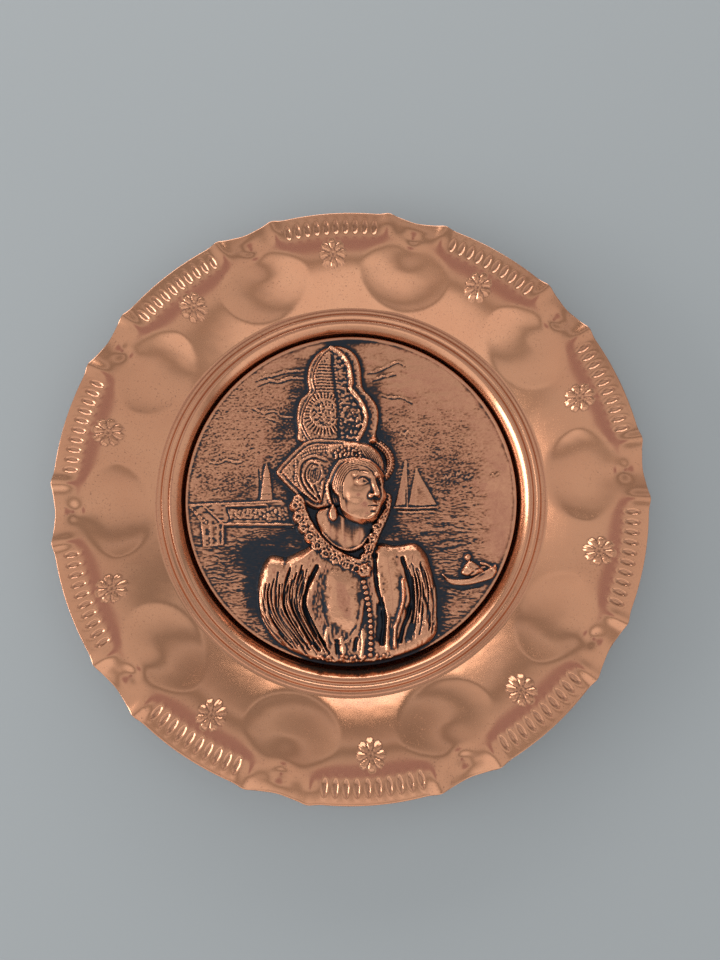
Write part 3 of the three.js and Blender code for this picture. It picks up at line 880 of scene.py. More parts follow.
def add_pleats(field, dark):
    """Pleats hang from the shoulders and run together towards the waist, deeper and darker lower down."""
    random = np.random.default_rng(7)
    left = [(-43.0, -34.0), (-44.0, -46.0), (-41.2, -57.0), (-30.0, -70.5)]
    right = [(-16.4, -31.0), (-20.0, -42.0), (-20.0, -52.0), (-8.0, -75.0)]
    for number in range(34):
        share = (number + 0.5 + 0.3 * random.normal()) / 34
        line = mixed(left, right, share) + random.normal(0, 0.5, (4, 2))
        path = curve(line, steps=12)
        first = random.integers(0, 16) if share < 0.45 else random.integers(0, 8)
        first += 6 if share < 0.3 else 0
        last = len(path) - random.integers(0, 6)
        groove = path[first:last]
        width = 0.28 + 0.34 * random.random() ** 2
        draw(field, groove, width, -(0.5 + 0.9 * random.random()), smooth=False)
        draw(field, groove + (0.75, 0.12), 0.34, 0.42, smooth=False)
        if number % 2:
            draw(dark, groove[len(groove) // 3:], 0.9 * width, 0.5, smooth=False)
    left = [(25.0, -24.5), (28.4, -38.0), (29.0, -52.0), (26.0, -68.0)]
    right = [(37.6, -30.5), (40.2, -43.0), (40.4, -55.0), (38.8, -65.0)]
    for number in range(22):
        share = (number + 0.5 + 0.3 * random.normal()) / 22
        line = mixed(left, right, share) + random.normal(0, 0.45, (4, 2))
        path = curve(line, steps=12)
        first = random.integers(0, 14)
        groove = path[first:first + 14 + random.integers(0, 12)]
        width = 0.3 + 0.35 * random.random() ** 2
        draw(field, groove, width, -(0.5 + 0.7 * random.random()), smooth=False)
        draw(field, groove + (0.8, 0.1), 0.38, 0.4, smooth=False)
    wedges = [
        ([(-16.2, -31.5), (-20.2, -40.9), (-22.3, -50.9), (-18.2, -60.9), (-12.6, -68.4)], 1.0, 2.2),
        ([(-23.0, -33.8), (-23.5, -41.5), (-25.4, -48.4), (-24.8, -55.9), (-20.4, -64.6), (-15.0, -71.2)],
         0.8, 1.6),
        ([(-29.8, -41.0), (-31.6, -47.1), (-31.0, -53.4), (-27.9, -60.9), (-22.5, -69.5)], 0.8, 1.4),
        ([(-39.1, -48.4), (-37.3, -55.9), (-32.3, -64.6), (-27.5, -69.8)], 0.55, 0.9),
        ([(-28.0, -46.0), (-27.4, -53.0), (-25.0, -60.0)], 1.0, 1.2),
        ([(11.4, -26.0), (12.2, -40.0), (14.6, -48.0), (15.6, -58.0), (14.6, -68.0)], 1.1, 2.4),
        ([(13.6, -50.0), (13.4, -58.0), (13.0, -66.0)], 1.7, 1.8),
        ([(24.2, -27.5), (27.4, -37.8), (28.8, -45.9), (27.6, -53.4), (25.0, -60.0), (23.2, -67.0)],
         1.0, 2.2),
        ([(28.0, -52.0), (29.0, -58.0), (27.0, -65.0)], 2.3, 2.2),
        ([(33.4, -43.0), (36.6, -51.0), (37.6, -60.0)], 0.7, 1.1),
        ([(-6.8, -67.0), (-6.2, -72.5)], 1.0, 1.5),
        ([(2.6, -66.0), (1.8, -71.0)], 1.0, 1.5),
    ]
    for line, width, deep in wedges:
        draw(field, line, width, -deep)
        draw(dark, line, width * 1.25, 1.2)


def add_dress(field, dark):
    """A puffed and pleated dress with two smoother front panels, ridges along its folds and a chain."""
    part, depth = depth_inside(curve(DRESS, closed=True))
    x, y = GRID_X[part], GRID_Y[part]
    fabric = 0.16 * noise(x / 1.0, y / 2.6, 51) + 0.12 * noise(x / 0.6, y / 1.2, 52)
    notch = 1.3 * np.exp(-(((x + 31.4) / 1.6) ** 2) - ((y + 27.0) / 4.5) ** 2)
    body = 5.0 * swell(depth, 6.0) + fabric * smoothstep(0.2, 1.5, depth) - notch
    for puff_x, puff_y, reach, height in (
        (-37.0, -33.5, 6.0, 1.3), (-23.6, -28.6, 5.5, 1.3), (29.0, -26.0, 6.0, 0.9), (-36.5, -44.0, 7.0, 0.8),
    ):
        bump = height * np.exp(-(((x - puff_x) / reach) ** 2 + ((y - puff_y) / reach) ** 2))
        body += bump * smoothstep(0, 3, depth)
    emboss(field, part, np.where(depth > 0, body, -9))
    add_pleats(field, dark)

    for outline, height in ((CHEST_LEFT, 7.0), (CHEST_RIGHT, 6.5)):
        part, depth = depth_inside(curve(outline, closed=True), margin=2.0)
        x, y = GRID_X[part], GRID_Y[part]
        uneven = 0.22 * noise(x / 3.2, y / 4.2, 53) + 0.07 * noise(x / 0.9, y / 0.9, 54)
        panel = 4.6 + (height - 4.6) * smoothstep(-1.0, 8.0, depth) + uneven
        ragged = depth + 1.6 * noise(x / 2.0, y / 3.2, 55) + 0.8 * noise(x / 0.9, y / 1.4, 57)
        blend = smoothstep(-1.4, 2.4, ragged)
        field[part] = field[part] * (1 - blend) + panel * blend
        dark[part] = dark[part] * (1 - blend) + blend * (0.4 * np.clip(noise(x / 3, y / 2.6, 56), 0, 1) - 0.1)

    ridges = [
        ([(5.6, -48.0), (4.6, -56.0), (3.0, -62.0), (1.2, -66.0)], 0.9, 0.9),
        ([(24.4, -38.0), (24.7, -47.1), (22.8, -54.6), (20.9, -61.0), (20.7, -69.6)], 0.75, 1.5),
        ([(-9.6, -60.0), (-9.4, -66.0), (-5.0, -68.0), (-1.0, -66.0), (2.2, -61.5)], 0.6, 0.6),
        ([(-4.4, -66.0), (-3.4, -71.0), (-4.0, -75.5)], 1.0, 1.0),
        ([(-10.8, -61.0), (-11.6, -66.0), (-10.6, -71.0)], 0.8, 0.9),
        ([(5.4, -62.0), (5.8, -68.0), (5.0, -74.5)], 0.8, 0.9),
        ([(17.4, -56.0), (17.0, -63.0), (17.4, -71.0)], 0.9, 1.1),
        ([(-30.6, -29.4), (-26.6, -30.2), (-22.4, -27.4), (-18.4, -24.0)], 0.9, 0.5),
        ([(13.4, -21.8), (21.0, -22.3), (29.6, -21.0)], 0.7, 0.5),
    ]
    for line, width, height in ridges:
        draw(field, line, width, height)
    chain = [(5.6, -37.4), (7.2, -44.0), (8.4, -50.9), (9.2, -57.1), (9.5, -64.0), (9.2, -74.0)]
    draw(field, chain, 1.3, -0.8)
    draw(dark, chain, 1.5, 0.5)
    dots(field, spaced(chain, 2.7), 1.3, 1.9)
    random = np.random.default_rng(29)
    clutter = np.stack([random.uniform(-21, 21, 60), random.uniform(-78.4, -73.6, 60)], axis=1)
    dots(field, clutter, 0.9, 1.1)


# Soft patches of patina, rubbed bright where the strength is negative: x, y, two reaches, turn and strength
PATINA_SPOTS = [
    (-42, -23, 15, 8, 12, 1.1), (-47.5, -42, 3.6, 17, 0, 1.1), (-31, 37, 5, 13, -25, 0.7),
    (14, 31, 5, 6, 0, 0.9), (-29, -13, 7, 6, 0, 0.8), (12, 55, 4, 9, -20, 0.5), (-26, 55, 4, 10, 0, 0.45),
    (-1, 77, 9, 2, 0, 0.7), (20, -12, 6, 7, 0, 0.7), (20, 6, 3, 14, 0, 0.7), (44, -20, 16, 15, 0, 0.36),
    (52, -42, 12, 5, 15, 0.5), (48, 15, 14, 14, 0, 0.32), (-52, 8, 20, 9, 0, 0.3),
    (-60, -36, 14, 14, 40, 0.3), (43.5, -50, 3.5, 12, 0, 0.7), (8.5, -13, 2.4, 4, -30, 1.2),
    (-3.4, 33.5, 5.5, 3.2, 0, 1.2), (-29, 4, 4, 4, -45, 0.6), (-20, 33, 3, 3, 0, 0.2),
    (2, -50, 38, 26, 0, 0.16), (-15.5, -49, 3.4, 15, 0, 0.8), (13.6, -49, 3, 11, 0, 0.7),
    (27, -62, 5.5, 9, 0, 0.7), (-27, -56, 7, 10, 20, 0.35), (72, 5, 9, 40, 0, -0.3),
    (38, 64, 26, 12, -30, -0.3), (-58, -62, 13, 13, 0, -0.25), (-50, 64, 14, 9, 40, -0.2),
]


def make_relief():
    """The medallion's height above its ground, how dark its patina is (with painted shade beside the
    headdress's fold), and how much its surface is worked.
    """
    field, worked = make_ground()
    dark = np.zeros_like(field)
    add_clouds(field)
    add_harbour(field)
    add_boats(field)
    add_dress(field, dark)
    add_headdress(field, dark)
    add_neck_and_collar(field)
    add_cap(field, dark)
    add_head(field, dark)
    lace_front(field)

    radius = np.hypot(GRID_X, GRID_Y)
    inner = smoothstep(79.0, 76.5, radius)
    field = field * inner + 0.35 * smoothstep(77.6, 78.6, radius) * smoothstep(79.6, 79.0, radius)

    for x, y, reach, height, turn, strength in PATINA_SPOTS:
        dark = dark + strength * spot(x, y, reach, height, turn)
    fine = blur(field, 0.4) - field
    middle = blur(field, 1.1) - field
    broad = blur(field, 3.0) - field
    worn = smoothstep(1.0, 5.0, field)
    dark = dark * (1 - 0.35 * worn) + 4.6 * fine + 1.7 * middle * (1 - 0.3 * worn) + 0.28 * broad
    dark += 0.12 - 0.1 * worn
    dark += 0.16 * noise(GRID_X / 1.6, GRID_Y / 0.6, 61) + 0.16 * noise(GRID_X / 5, GRID_Y / 3, 62)
    strokes = 0.15 + 0.85 * worked * (1 - worn) + 0.35 * worn
    strokes[FACE_WINDOW] *= 1 - 0.9 * FACE_SHARE
    return field, smoothstep(0.0, 1.0, dark), strokes


def sample(field, x, y):
    """The field's value between its grid points, with the picture's middle let down towards its foot."""
    lean = 1 + PICTURE_LEAN * y / GRID_EDGE
    x, y = x * math.sqrt(1 - PICTURE_LEAN**2) / lean, (y + PICTURE_LEAN * GRID_EDGE) / lean
    column = np.clip((x + GRID_HALF) / GRID_STEP, 0, len(GRID_AXIS) - 1.001)
    row = np.clip((y + GRID_HALF) / GRID_STEP, 0, len(GRID_AXIS) - 1.001)
    c, r = column.astype(int), row.astype(int)
    u, v = column - c, row - r
    low = field[r, c] * (1 - u) + field[r, c + 1] * u
    high = field[r + 1, c] * (1 - u) + field[r + 1, c + 1] * u
    return low * (1 - v) + high * v


def disc_grid(count):
    """A square grid drawn into a disc of radius 1: x and y, as arrays of count + 1 rows and columns."""
    a, b = np.meshgrid(np.linspace(-1, 1, count + 1), np.linspace(-1, 1, count + 1))
    wide = np.abs(a) > np.abs(b)
    safe_a = np.where(a == 0, 1, a)
    safe_b = np.where(b == 0, 1, b)
    reach = np.where(wide, a, b)
    turn = np.where(wide, math.pi / 4 * b / safe_a, math.pi / 2 - math.pi / 4 * a / safe_b)
    return reach * np.cos(turn), reach * np.sin(turn)


def grid_border(count):
    """Indices of a square grid's border, once round against the clock."""
    index = np.arange((count + 1) ** 2).reshape(count + 1, count + 1)
    return np.concatenate([index[0, :-1], index[:-1, -1], index[-1, :0:-1], index[:0:-1, 0]])


def grid_faces(count, flip=False):
    index = np.arange((count + 1) ** 2).reshape(count + 1, count + 1)
    corners = [index[:-1, :-1], index[:-1, 1:], index[1:, 1:], index[1:, :-1]]
    if flip:
        corners = corners[::-1]
    return np.stack([c.ravel() for c in corners], axis=1)


MEDALLION_RADIUS = 79.5
MEDALLION_GROUND = 5.1
MEDALLION_SHEET = 0.6
FRONT_CELLS = 464
BACK_CELLS = FRONT_CELLS // 4
MEDALLION_FACES = 176000

# Half of the texture square's side that the front takes up, and the back
BAKE_FRONT = 0.42
BAKE_BACK = 0.16


def make_medallion():
    """A closed thin sheet: a fine front, a coarse back that follows it, and a rounded edge."""
    relief, dark, worked = make_relief()
    fx, fy = disc_grid(FRONT_CELLS)
    front_radius = MEDALLION_RADIUS - 0.35
    fx, fy = fx.ravel() * front_radius, fy.ravel() * front_radius
    front = np.stack([fx, fy, MEDALLION_GROUND + sample(relief, fx, fy)], axis=1)

    lowest = relief
    for shift in (1, 2, 3, 3):
        for axis in (0, 1):
            beside = np.minimum(np.roll(lowest, shift, axis), np.roll(lowest, -shift, axis))
            lowest = np.minimum(lowest, beside)
    bx, by = disc_grid(BACK_CELLS)
    back_radius = MEDALLION_RADIUS - 0.2
    bx, by = bx.ravel() * back_radius, by.ravel() * back_radius
    hollow = np.clip(sample(blur(lowest, 1.0), bx, by), 0.0, None)
    back = np.stack([bx, by, MEDALLION_GROUND - MEDALLION_SHEET + hollow * 0.92], axis=1)

    top_ring = grid_border(FRONT_CELLS)
    turn = np.arctan2(front[top_ring, 1], front[top_ring, 0])
    points = [front]
    rings = [top_ring]
    count = len(front)
    for stride, inset, height in ((1, 0.08, -0.12), (1, 0.0, -0.3), (2, 0.02, -0.5)):
        at = turn[::stride]
        radius = MEDALLION_RADIUS - inset
        heights = np.full(len(at), MEDALLION_GROUND + height)
        points.append(np.stack([radius * np.cos(at), radius * np.sin(at), heights], axis=1))
        rings.append(count + np.arange(len(at)))
        count += len(at)
    points.append(back)
    rings.append(count + grid_border(BACK_CELLS))

    faces = [grid_faces(FRONT_CELLS), grid_faces(BACK_CELLS, flip=True) + count]
    for first, second in zip(rings, rings[1:]):
        faces += ring_faces(first, second)
    piece = mesh_object("copper_relief", np.concatenate(points), faces)
    thin_out(piece, MEDALLION_FACES)
    # Patina, and the painted shade beside the headdress's fold
    paint(piece, "patina_and_shade", lambda x, y: sample(dark, x, y))
    paint(piece, "worked", lambda x, y: sample(worked, x, y))
    return piece


def point_places(mesh):
    """Every point of a mesh, in millimetres."""
    places = np.empty(len(mesh.vertices) * 3)
    mesh.vertices.foreach_get("co", places)
    return places.reshape(-1, 3) / MM


def bake_layout(piece, radius):
    """Lays the front flat over most of the texture square, and the back small in its corner."""
    mesh = piece.data
    corner = np.empty(len(mesh.loops), dtype=np.int32)
    mesh.loops.foreach_get("vertex_index", corner)
    places = point_places(mesh) / radius
    normals = np.empty(len(mesh.polygons) * 3)
    mesh.polygons.foreach_get("normal", normals)
    sizes = np.empty(len(mesh.polygons), dtype=np.int32)
    mesh.polygons.foreach_get("loop_total", sizes)
    up = np.repeat(normals.reshape(-1, 3)[:, 2] > 0, sizes)[:, None]
    flat = places[corner, :2]
    front = BAKE_FRONT + 0.005 + flat * BAKE_FRONT
    back = 1 - BAKE_BACK - 0.005 + flat * (-1, 1) * BAKE_BACK
    layer = mesh.uv_layers.new(name="OFBake")
    layer.data.foreach_set("uv", np.where(up, front, back).ravel())


def thin_out(piece, faces):
    """Merges triangles where the surface is nearly flat, until about so many are left."""
    triangles = sum(len(polygon.vertices) - 2 for polygon in piece.data.polygons)
    modifier = piece.modifiers.new("thin_out", "DECIMATE")
    modifier.ratio = faces / triangles
    evaluated = piece.evaluated_get(bpy.context.evaluated_depsgraph_get())
    mesh = bpy.data.meshes.new_from_object(evaluated)
    piece.modifiers.clear()
    piece.data = mesh


def paint(piece, name, field):
    """Gives each point the value of a function of x and y at its place."""
    places = point_places(piece.data)
    layer = piece.data.attributes.new(name, "FLOAT", "POINT")
    layer.data.foreach_set("value", field(places[:, 0], places[:, 1]))


# ---- Hanger behind the rim, in the plane x = 0 ---------------------------------------------------

RING_RADIUS = 8.0
WIRE_RADIUS = 0.75
HINGE_Y = 115.5
EYE_BORE = 1.4
STRAP_THICKNESS = 0.8
STRAP_WIDTH = 4.5
STRAP_CORNER = 0.22
FOOT_INNER = 101.0
FOOT_OUTER = 111.0
HANGER_GAP = 0.4
SOLDER_THICKNESS = 0.5
SOLDER_WIDTH = 6.5
SOLDER_LENGTH = 8.5
STRAP_GAP = 0.3

FOOT_MIDDLE = (FOOT_INNER + FOOT_OUTER) / 2
FOOT_TILT = math.atan2(float(rim_height(FOOT_OUTER) - rim_height(FOOT_INNER)), FOOT_OUTER - FOOT_INNER)
PAD_DEPTH = SHEET + HANGER_GAP
EYE_DOWN = PAD_DEPTH + SOLDER_THICKNESS + STRAP_GAP + EYE_BORE + STRAP_THICKNESS
EYE_ALONG = (HINGE_Y - FOOT_MIDDLE - EYE_DOWN * math.sin(FOOT_TILT)) / math.cos(FOOT_TILT)


def under_rim(along, down, across=0.0):
    """A point under the rim: along the foot from its middle, and down from the rim's face."""
    y = FOOT_MIDDLE + along * math.cos(FOOT_TILT) + down * math.sin(FOOT_TILT)
    z = float(rim_height(FOOT_MIDDLE)) + along * math.sin(FOOT_TILT) - down * math.cos(FOOT_TILT)
    return across, y, z


def skin(name, sections, closed):
    """A skin through sections with equal counts of points, joined into a loop or with both ends filled."""
    count = len(sections[0])
    rings = [i * count + np.arange(count) for i in range(len(sections))]
    after = rings[1:] + rings[:1] if closed else rings[1:]
    faces = []
    for first, second in zip(rings, after):
        faces += ring_faces(first, second)
    points = np.concatenate(sections)
    if not closed:
        first, last = rings[0], rings[-1]
        faces.append(np.stack([np.full_like(first, len(points)), first, np.roll(first, -1)], axis=1))
        faces.append(np.stack([last, np.full_like(last, len(points) + 1), np.roll(last, -1)], axis=1))
        points = np.concatenate([points, [sections[0].mean(axis=0)], [sections[-1].mean(axis=0)]])
    piece = mesh_object(name, points, faces)
    shell = bmesh.new()
    shell.from_mesh(piece.data)
    bmesh.ops.recalc_face_normals(shell, faces=shell.faces)
    shell.to_mesh(piece.data)
    shell.free()
    return piece


def rounded_outline(half_width, half_height, corner, per_corner=5):
    """A rounded rectangle, as pairs of (sideways, upward)."""
    points = []
    for quarter, (side, up) in enumerate(((1, 1), (-1, 1), (-1, -1), (1, -1))):
        for step in range(per_corner):
            angle = math.pi / 2 * (quarter + step / (per_corner - 1))
            points.append((side * (half_width - corner) + corner * math.cos(angle),
                           up * (half_height - corner) + corner * math.sin(angle)))
    return points


def make_strap():
    """A strip folded round into an eye for the ring, with a rounded, flattened free end."""
    middle_radius = EYE_BORE + STRAP_THICKNESS / 2
    foot_length = EYE_ALONG + (FOOT_OUTER - FOOT_INNER) / 2
    path = []
    for along in np.concatenate([np.linspace(0, 2.0, 9), np.linspace(2.6, foot_length, 12)]):
        path.append((EYE_ALONG - foot_length + along, EYE_DOWN - middle_radius, math.pi / 2, along))
    for angle in np.linspace(math.pi / 2, -1.02 * math.pi, 52)[1:]:
        along, down = EYE_ALONG + middle_radius * math.cos(angle), EYE_DOWN - middle_radius * math.sin(angle)
        path.append((along, down, angle, 9.0))
    sections = []
    for along, down, angle, from_end in path:
        share = min(from_end / 2.0, 1.0)
        half_width = STRAP_WIDTH / 2 * (0.45 + 0.55 * math.sqrt(1 - (1 - share) ** 2))
        outline = rounded_outline(half_width, STRAP_THICKNESS / 2, STRAP_CORNER)
        c, s = math.cos(angle), math.sin(angle)
        sections.append(np.array([under_rim(along + up * c, down - up * s, side) for side, up in outline]))
    return skin("folded_strap", sections, closed=False)


def make_solder():
    """A flat pool of soft solder with a rounded, uneven edge."""
    count = 72
    turn = np.arange(count) * 2 * math.pi / count
    uneven = 1 + 0.03 * np.sin(3 * turn + 0.6) + 0.02 * np.sin(7 * turn) + 0.012 * np.sin(11 * turn + 2)
    squareness = (np.abs(np.cos(turn)) ** 3.2 + np.abs(np.sin(turn)) ** 3.2) ** (-1 / 3.2)
    sections = []
    for scale, down in (
        (0.35, 0.0), (0.86, 0.0), (0.93, 0.05), (0.96, 0.16), (0.965, 0.28), (0.95, 0.38), (0.9, 0.45),
        (0.8, 0.48), (0.35, 0.5),
    ):
        reach = scale * uneven * squareness
        lengthwise = reach * SOLDER_LENGTH / 2 * np.sin(turn)
        sideways = reach * SOLDER_WIDTH / 2 * np.cos(turn)
        section = [under_rim(along, PAD_DEPTH + down, across) for along, across in zip(lengthwise, sideways)]
        sections.append(np.array(section))
    return skin("solder_pool", sections, closed=False)


def make_ring():
    """A ring of bent wire, whose two ends meet in a fine butt joint at its far side."""
    hinge_z = under_rim(EYE_ALONG, EYE_DOWN)[2]
    turns = np.linspace(0, 2 * math.pi, 128, endpoint=False)
    joint_turns = math.pi + np.array([-0.02, -0.008, 0.0, 0.008, 0.02])
    turns = np.sort(np.concatenate([turns[np.abs(turns - math.pi) > 0.03], joint_turns]))
    around = np.linspace(0, 2 * math.pi, 20, endpoint=False)
    sections = []
    for turn in turns:
        wire = WIRE_RADIUS * (1 - 0.22 * math.exp(-(((turn - math.pi) / 0.009) ** 2)))
        reach = RING_RADIUS + wire * np.cos(around)
        x, y = reach * math.sin(turn), HINGE_Y + wire * np.sin(around)
        z = hinge_z - RING_RADIUS + reach * math.cos(turn)
        sections.append(np.stack([x, y, z], axis=1))
    return skin("wire_ring", sections, closed=True)


# ---- Materials -----------------------------------------------------------------------------------


class Shade:
    """A material under construction: short ways to add and join its nodes."""

    def __init__(self, name):
        self.material = bpy.data.materials.new(name)
        self.material.use_nodes = True
        self.tree = self.material.node_tree
        self.shader = self.tree.nodes["Principled BSDF"]
        self.place = self.add("ShaderNodeTexCoord").outputs["Object"]

    def add(self, kind, settings=None, inputs=None):
        node = self.tree.nodes.new(kind)
        for key, value in (settings or {}).items():
            setattr(node, key, value)
        for key, value in (inputs or {}).items():
            self.put(node.inputs[key], value)
        return node

    def put(self, socket, value):
        if isinstance(value, bpy.types.NodeSocket):
            self.tree.links.new(value, socket)
        else:
            socket.default_value = value

    def noise(self, size_mm, detail=2.0, stretch=(1, 1, 1), rough=0.5):
        """Noise from 0 to 1 with features of about one size."""
        place = self.add("ShaderNodeMapping", inputs={"Vector": self.place, "Scale": stretch})
        inputs = {"Scale": 1.0 / (size_mm * MM), "Detail": detail, "Roughness": rough}
        inputs["Vector"] = place.outputs["Vector"]
        return self.add("ShaderNodeTexNoise", inputs=inputs).outputs["Fac"]

    def ramp(self, value, stops):
        """Maps a value through stops of (place, colour or grey)."""
        node = self.add("ShaderNodeValToRGB", inputs={"Fac": value})
        elements = node.color_ramp.elements
        while len(elements) < len(stops):
            elements.new(0.5)
        for element, (where, colour) in zip(elements, stops):
            element.position = where
            element.color = (*colour, 1) if isinstance(colour, tuple) else (colour, colour, colour, 1)
        return node.outputs["Color"]

    def blend(self, share, first, second, mode="MIX"):
        node = self.add("ShaderNodeMix", {"data_type": "RGBA", "blend_type": mode})
        self.put(node.inputs[0], share)
        for socket, value in ((node.inputs[6], first), (node.inputs[7], second)):
            self.put(socket, (*value, 1) if isinstance(value, tuple) else value)
        return node.outputs[2]

    def maths(self, operation, first, second, clamp=False):
        node = self.add("ShaderNodeMath", {"operation": operation, "use_clamp": clamp})
        self.put(node.inputs[0], first)
        self.put(node.inputs[1], second)
        return node.outputs[0]

    def bump(self, height, depth_mm, strength=1.0, under=None):
        inputs = {"Height": height, "Distance": depth_mm * MM, "Strength": strength}
        if under is not None:
            inputs["Normal"] = under
        return self.add("ShaderNodeBump", inputs=inputs).outputs["Normal"]

    def finish(self, **values):
        for key, value in values.items():
            value = (*value, 1) if isinstance(value, tuple) and len(value) == 3 else value
            self.put(self.shader.inputs[key.replace("_", " ")], value)
        return self.material


COPPER = (0.66, 0.308, 0.165)


def satin_copper():
    shade = Shade("satin_copper")
    cloud = shade.noise(28, 3.0)
    specks = shade.ramp(shade.noise(0.85, 2.0, rough=0.7), [(0.60, 0.0), (0.69, 1.0)])
    crowded = shade.ramp(shade.noise(22, 2.0), [(0.35, 0.25), (0.65, 1.0)])
    speck_share = shade.maths("MULTIPLY", specks, crowded)
    grain = shade.noise(0.45, 3.0)
    waves = shade.noise(9.0, 1.0)
    tint = shade.blend(shade.ramp(cloud, [(0.35, 0.0), (0.7, 1.0)]), COPPER, (0.62, 0.275, 0.145))
    groove_shade = shade.add("ShaderNodeAttribute", {"attribute_name": "groove_shade"}).outputs["Fac"]
    # Painted shade: the rim's colour is darkened in its grooves and dents
    groove_shaded_tint = shade.blend(shade.maths("MULTIPLY", groove_shade, 0.8), tint, (0.16, 0.06, 0.035))
    colour = shade.blend(shade.maths("MULTIPLY", speck_share, 0.6), groove_shaded_tint, (0.20, 0.075, 0.045))
    base = shade.maths("MULTIPLY_ADD", cloud, 0.08)
    base.node.inputs[2].default_value = 0.16
    roughness = shade.maths("ADD", base, shade.maths("MULTIPLY", specks, 0.2))
    normal = shade.bump(grain, 0.02, 0.3, under=shade.bump(waves, 0.25, 0.5))
    return shade.finish(Base_Color=colour, Metallic=1.0, Roughness=roughness, Normal=normal, Coat_Weight=0.8,
                        Coat_Roughness=0.1)


def patinated_copper():
    shade = Shade("patinated_copper")
    # Patina, and painted shade beside the headdress's fold, from the values at the points
    patina_and_shade = shade.add("ShaderNodeAttribute", {"attribute_name": "patina_and_shade"}).outputs["Fac"]
    worked = shade.add("ShaderNodeAttribute", {"attribute_name": "worked"}).outputs["Fac"]
    strokes = shade.noise(0.7, 3.0, stretch=(0.4, 1.3, 1.0), rough=0.6)
    centred = shade.maths("MULTIPLY", shade.maths("SUBTRACT", strokes, 0.5), worked)
    mottle = shade.maths("SUBTRACT", shade.noise(1.2, 4.0, rough=0.65), 0.5)
    uneven = shade.maths("ADD", shade.maths("MULTIPLY", mottle, 0.3), shade.maths("MULTIPLY", centred, 1.3))
    depth = shade.maths("ADD", patina_and_shade, uneven, clamp=True)
    colour = shade.ramp(depth, [
        (0.0, (0.72, 0.35, 0.205)), (0.2, (0.58, 0.265, 0.15)), (0.45, (0.25, 0.11, 0.065)),
        (0.7, (0.06, 0.040, 0.036)), (1.0, (0.018, 0.026, 0.038)),
    ])
    metallic = shade.ramp(depth, [(0.3, 1.0), (0.95, 0.6)])
    roughness = shade.ramp(depth, [(0.0, 0.22), (0.5, 0.32), (1.0, 0.40)])
    scratches = shade.bump(centred, 0.22, 1.0)
    normal = shade.bump(shade.noise(0.5, 3.0), 0.04, 0.4, under=scratches)
    return shade.finish(Base_Color=colour, Metallic=metallic, Roughness=roughness, Normal=normal)


def strap_copper():
    shade = Shade("strap_copper")
    stains = shade.ramp(shade.noise(3.5, 4.0, rough=0.6), [(0.35, 0.0), (0.68, 1.0)])
    drawn = shade.noise(0.3, 3.0, stretch=(1.0, 0.12, 0.12))
    tint = shade.blend(shade.ramp(drawn, [(0.3, 0.0), (0.7, 1.0)]), (0.50, 0.235, 0.135), (0.60, 0.29, 0.17))
    colour = shade.blend(shade.maths("MULTIPLY", stains, 0.7), tint, (0.20, 0.095, 0.06))
    roughness = shade.ramp(stains, [(0.0, 0.34), (1.0, 0.52)])
    normal = shade.bump(drawn, 0.03, 0.5)
    return shade.finish(Base_Color=colour, Metallic=1.0, Roughness=roughness, Normal=normal)


def brass_wire():
    shade = Shade("brass_wire")
    stains = shade.ramp(shade.noise(2.2, 4.0, rough=0.65), [(0.4, 0.0), (0.72, 1.0)])
    colour = shade.blend(shade.maths("MULTIPLY", stains, 0.75), (0.62, 0.44, 0.20), (0.24, 0.16, 0.075))
    roughness = shade.ramp(stains, [(0.0, 0.26), (1.0, 0.5)])
    normal = shade.bump(shade.noise(0.35, 3.0), 0.02, 0.5)
    return shade.finish(Base_Color=colour, Metallic=1.0, Roughness=roughness, Normal=normal)


def soft_solder():
    shade = Shade("solder")
    skin_marks = shade.noise(1.1, 4.0, rough=0.6)
    colour = shade.ramp(skin_marks, [
        (0.3, (0.36, 0.36, 0.35)), (0.6, (0.56, 0.56, 0.54)), (0.8, (0.30, 0.27, 0.22)),
    ])
    roughness = shade.ramp(skin_marks, [(0.3, 0.35), (0.7, 0.55)])
    normal = shade.bump(skin_marks, 0.1, 0.6)
    return shade.finish(Base_Color=colour, Metallic=0.95, Roughness=roughness, Normal=normal)


def raw_hardboard():
    shade = Shade("hardboard")
    fibres = shade.noise(0.7, 5.0, stretch=(1.0, 0.35, 1.0), rough=0.7)
    cloud = shade.noise(14, 3.0)
    tint = shade.blend(cloud, (0.21, 0.12, 0.065), (0.29, 0.175, 0.10))
    colour = shade.blend(shade.ramp(fibres, [(0.35, 0.0), (0.65, 0.8)]), tint, (0.12, 0.065, 0.035))
    return shade.finish(Base_Color=colour, Roughness=0.85, Normal=shade.bump(fibres, 0.12, 0.7))


def dried_mastic():
    shade = Shade("mastic")
    lumps = shade.noise(2.4, 4.0, rough=0.55)
    colour = shade.ramp(lumps, [
        (0.3, (0.45, 0.39, 0.28)), (0.6, (0.62, 0.56, 0.43)), (0.8, (0.52, 0.43, 0.28)),
    ])
    roughness = shade.ramp(lumps, [(0.3, 0.5), (0.7, 0.72)])
    return shade.finish(Base_Color=colour, Roughness=roughness, Normal=shade.bump(lumps, 0.3, 0.7))


# ---- Stage: floor, camera and lights -------------------------------------------------------------


CAMERA_TILT = math.radians(8.4)
CAMERA_TURN = math.radians(0.24)
CAMERA_LENS = 25.5
PICTURE_SEEN_AT = (-4.2, -7.5, -326.0)

FLOOR_HALF = 3000.0
FLOOR_COLOUR = (0.40, 0.425, 0.435, 1)

# How bright the room is, from beyond the picture's foot at 0 to beyond its top at 1
ROOM_BANDS = [
    (0.0, 0.6), (0.10, 1.1), (0.22, 1.1), (0.26, 0.72), (0.31, 0.32), (0.37, 0.76), (0.48, 0.80),
    (0.62, 0.76), (0.70, 0.62), (0.75, 0.34), (0.785, 0.34), (0.82, 0.8), (0.86, 0.5), (0.92, 0.22),
    (1.0, 0.26),
]
ROOM_TURN = math.radians(6)
OVERHEAD_SHADE = (0.45, 0.37, 0.43, 1)


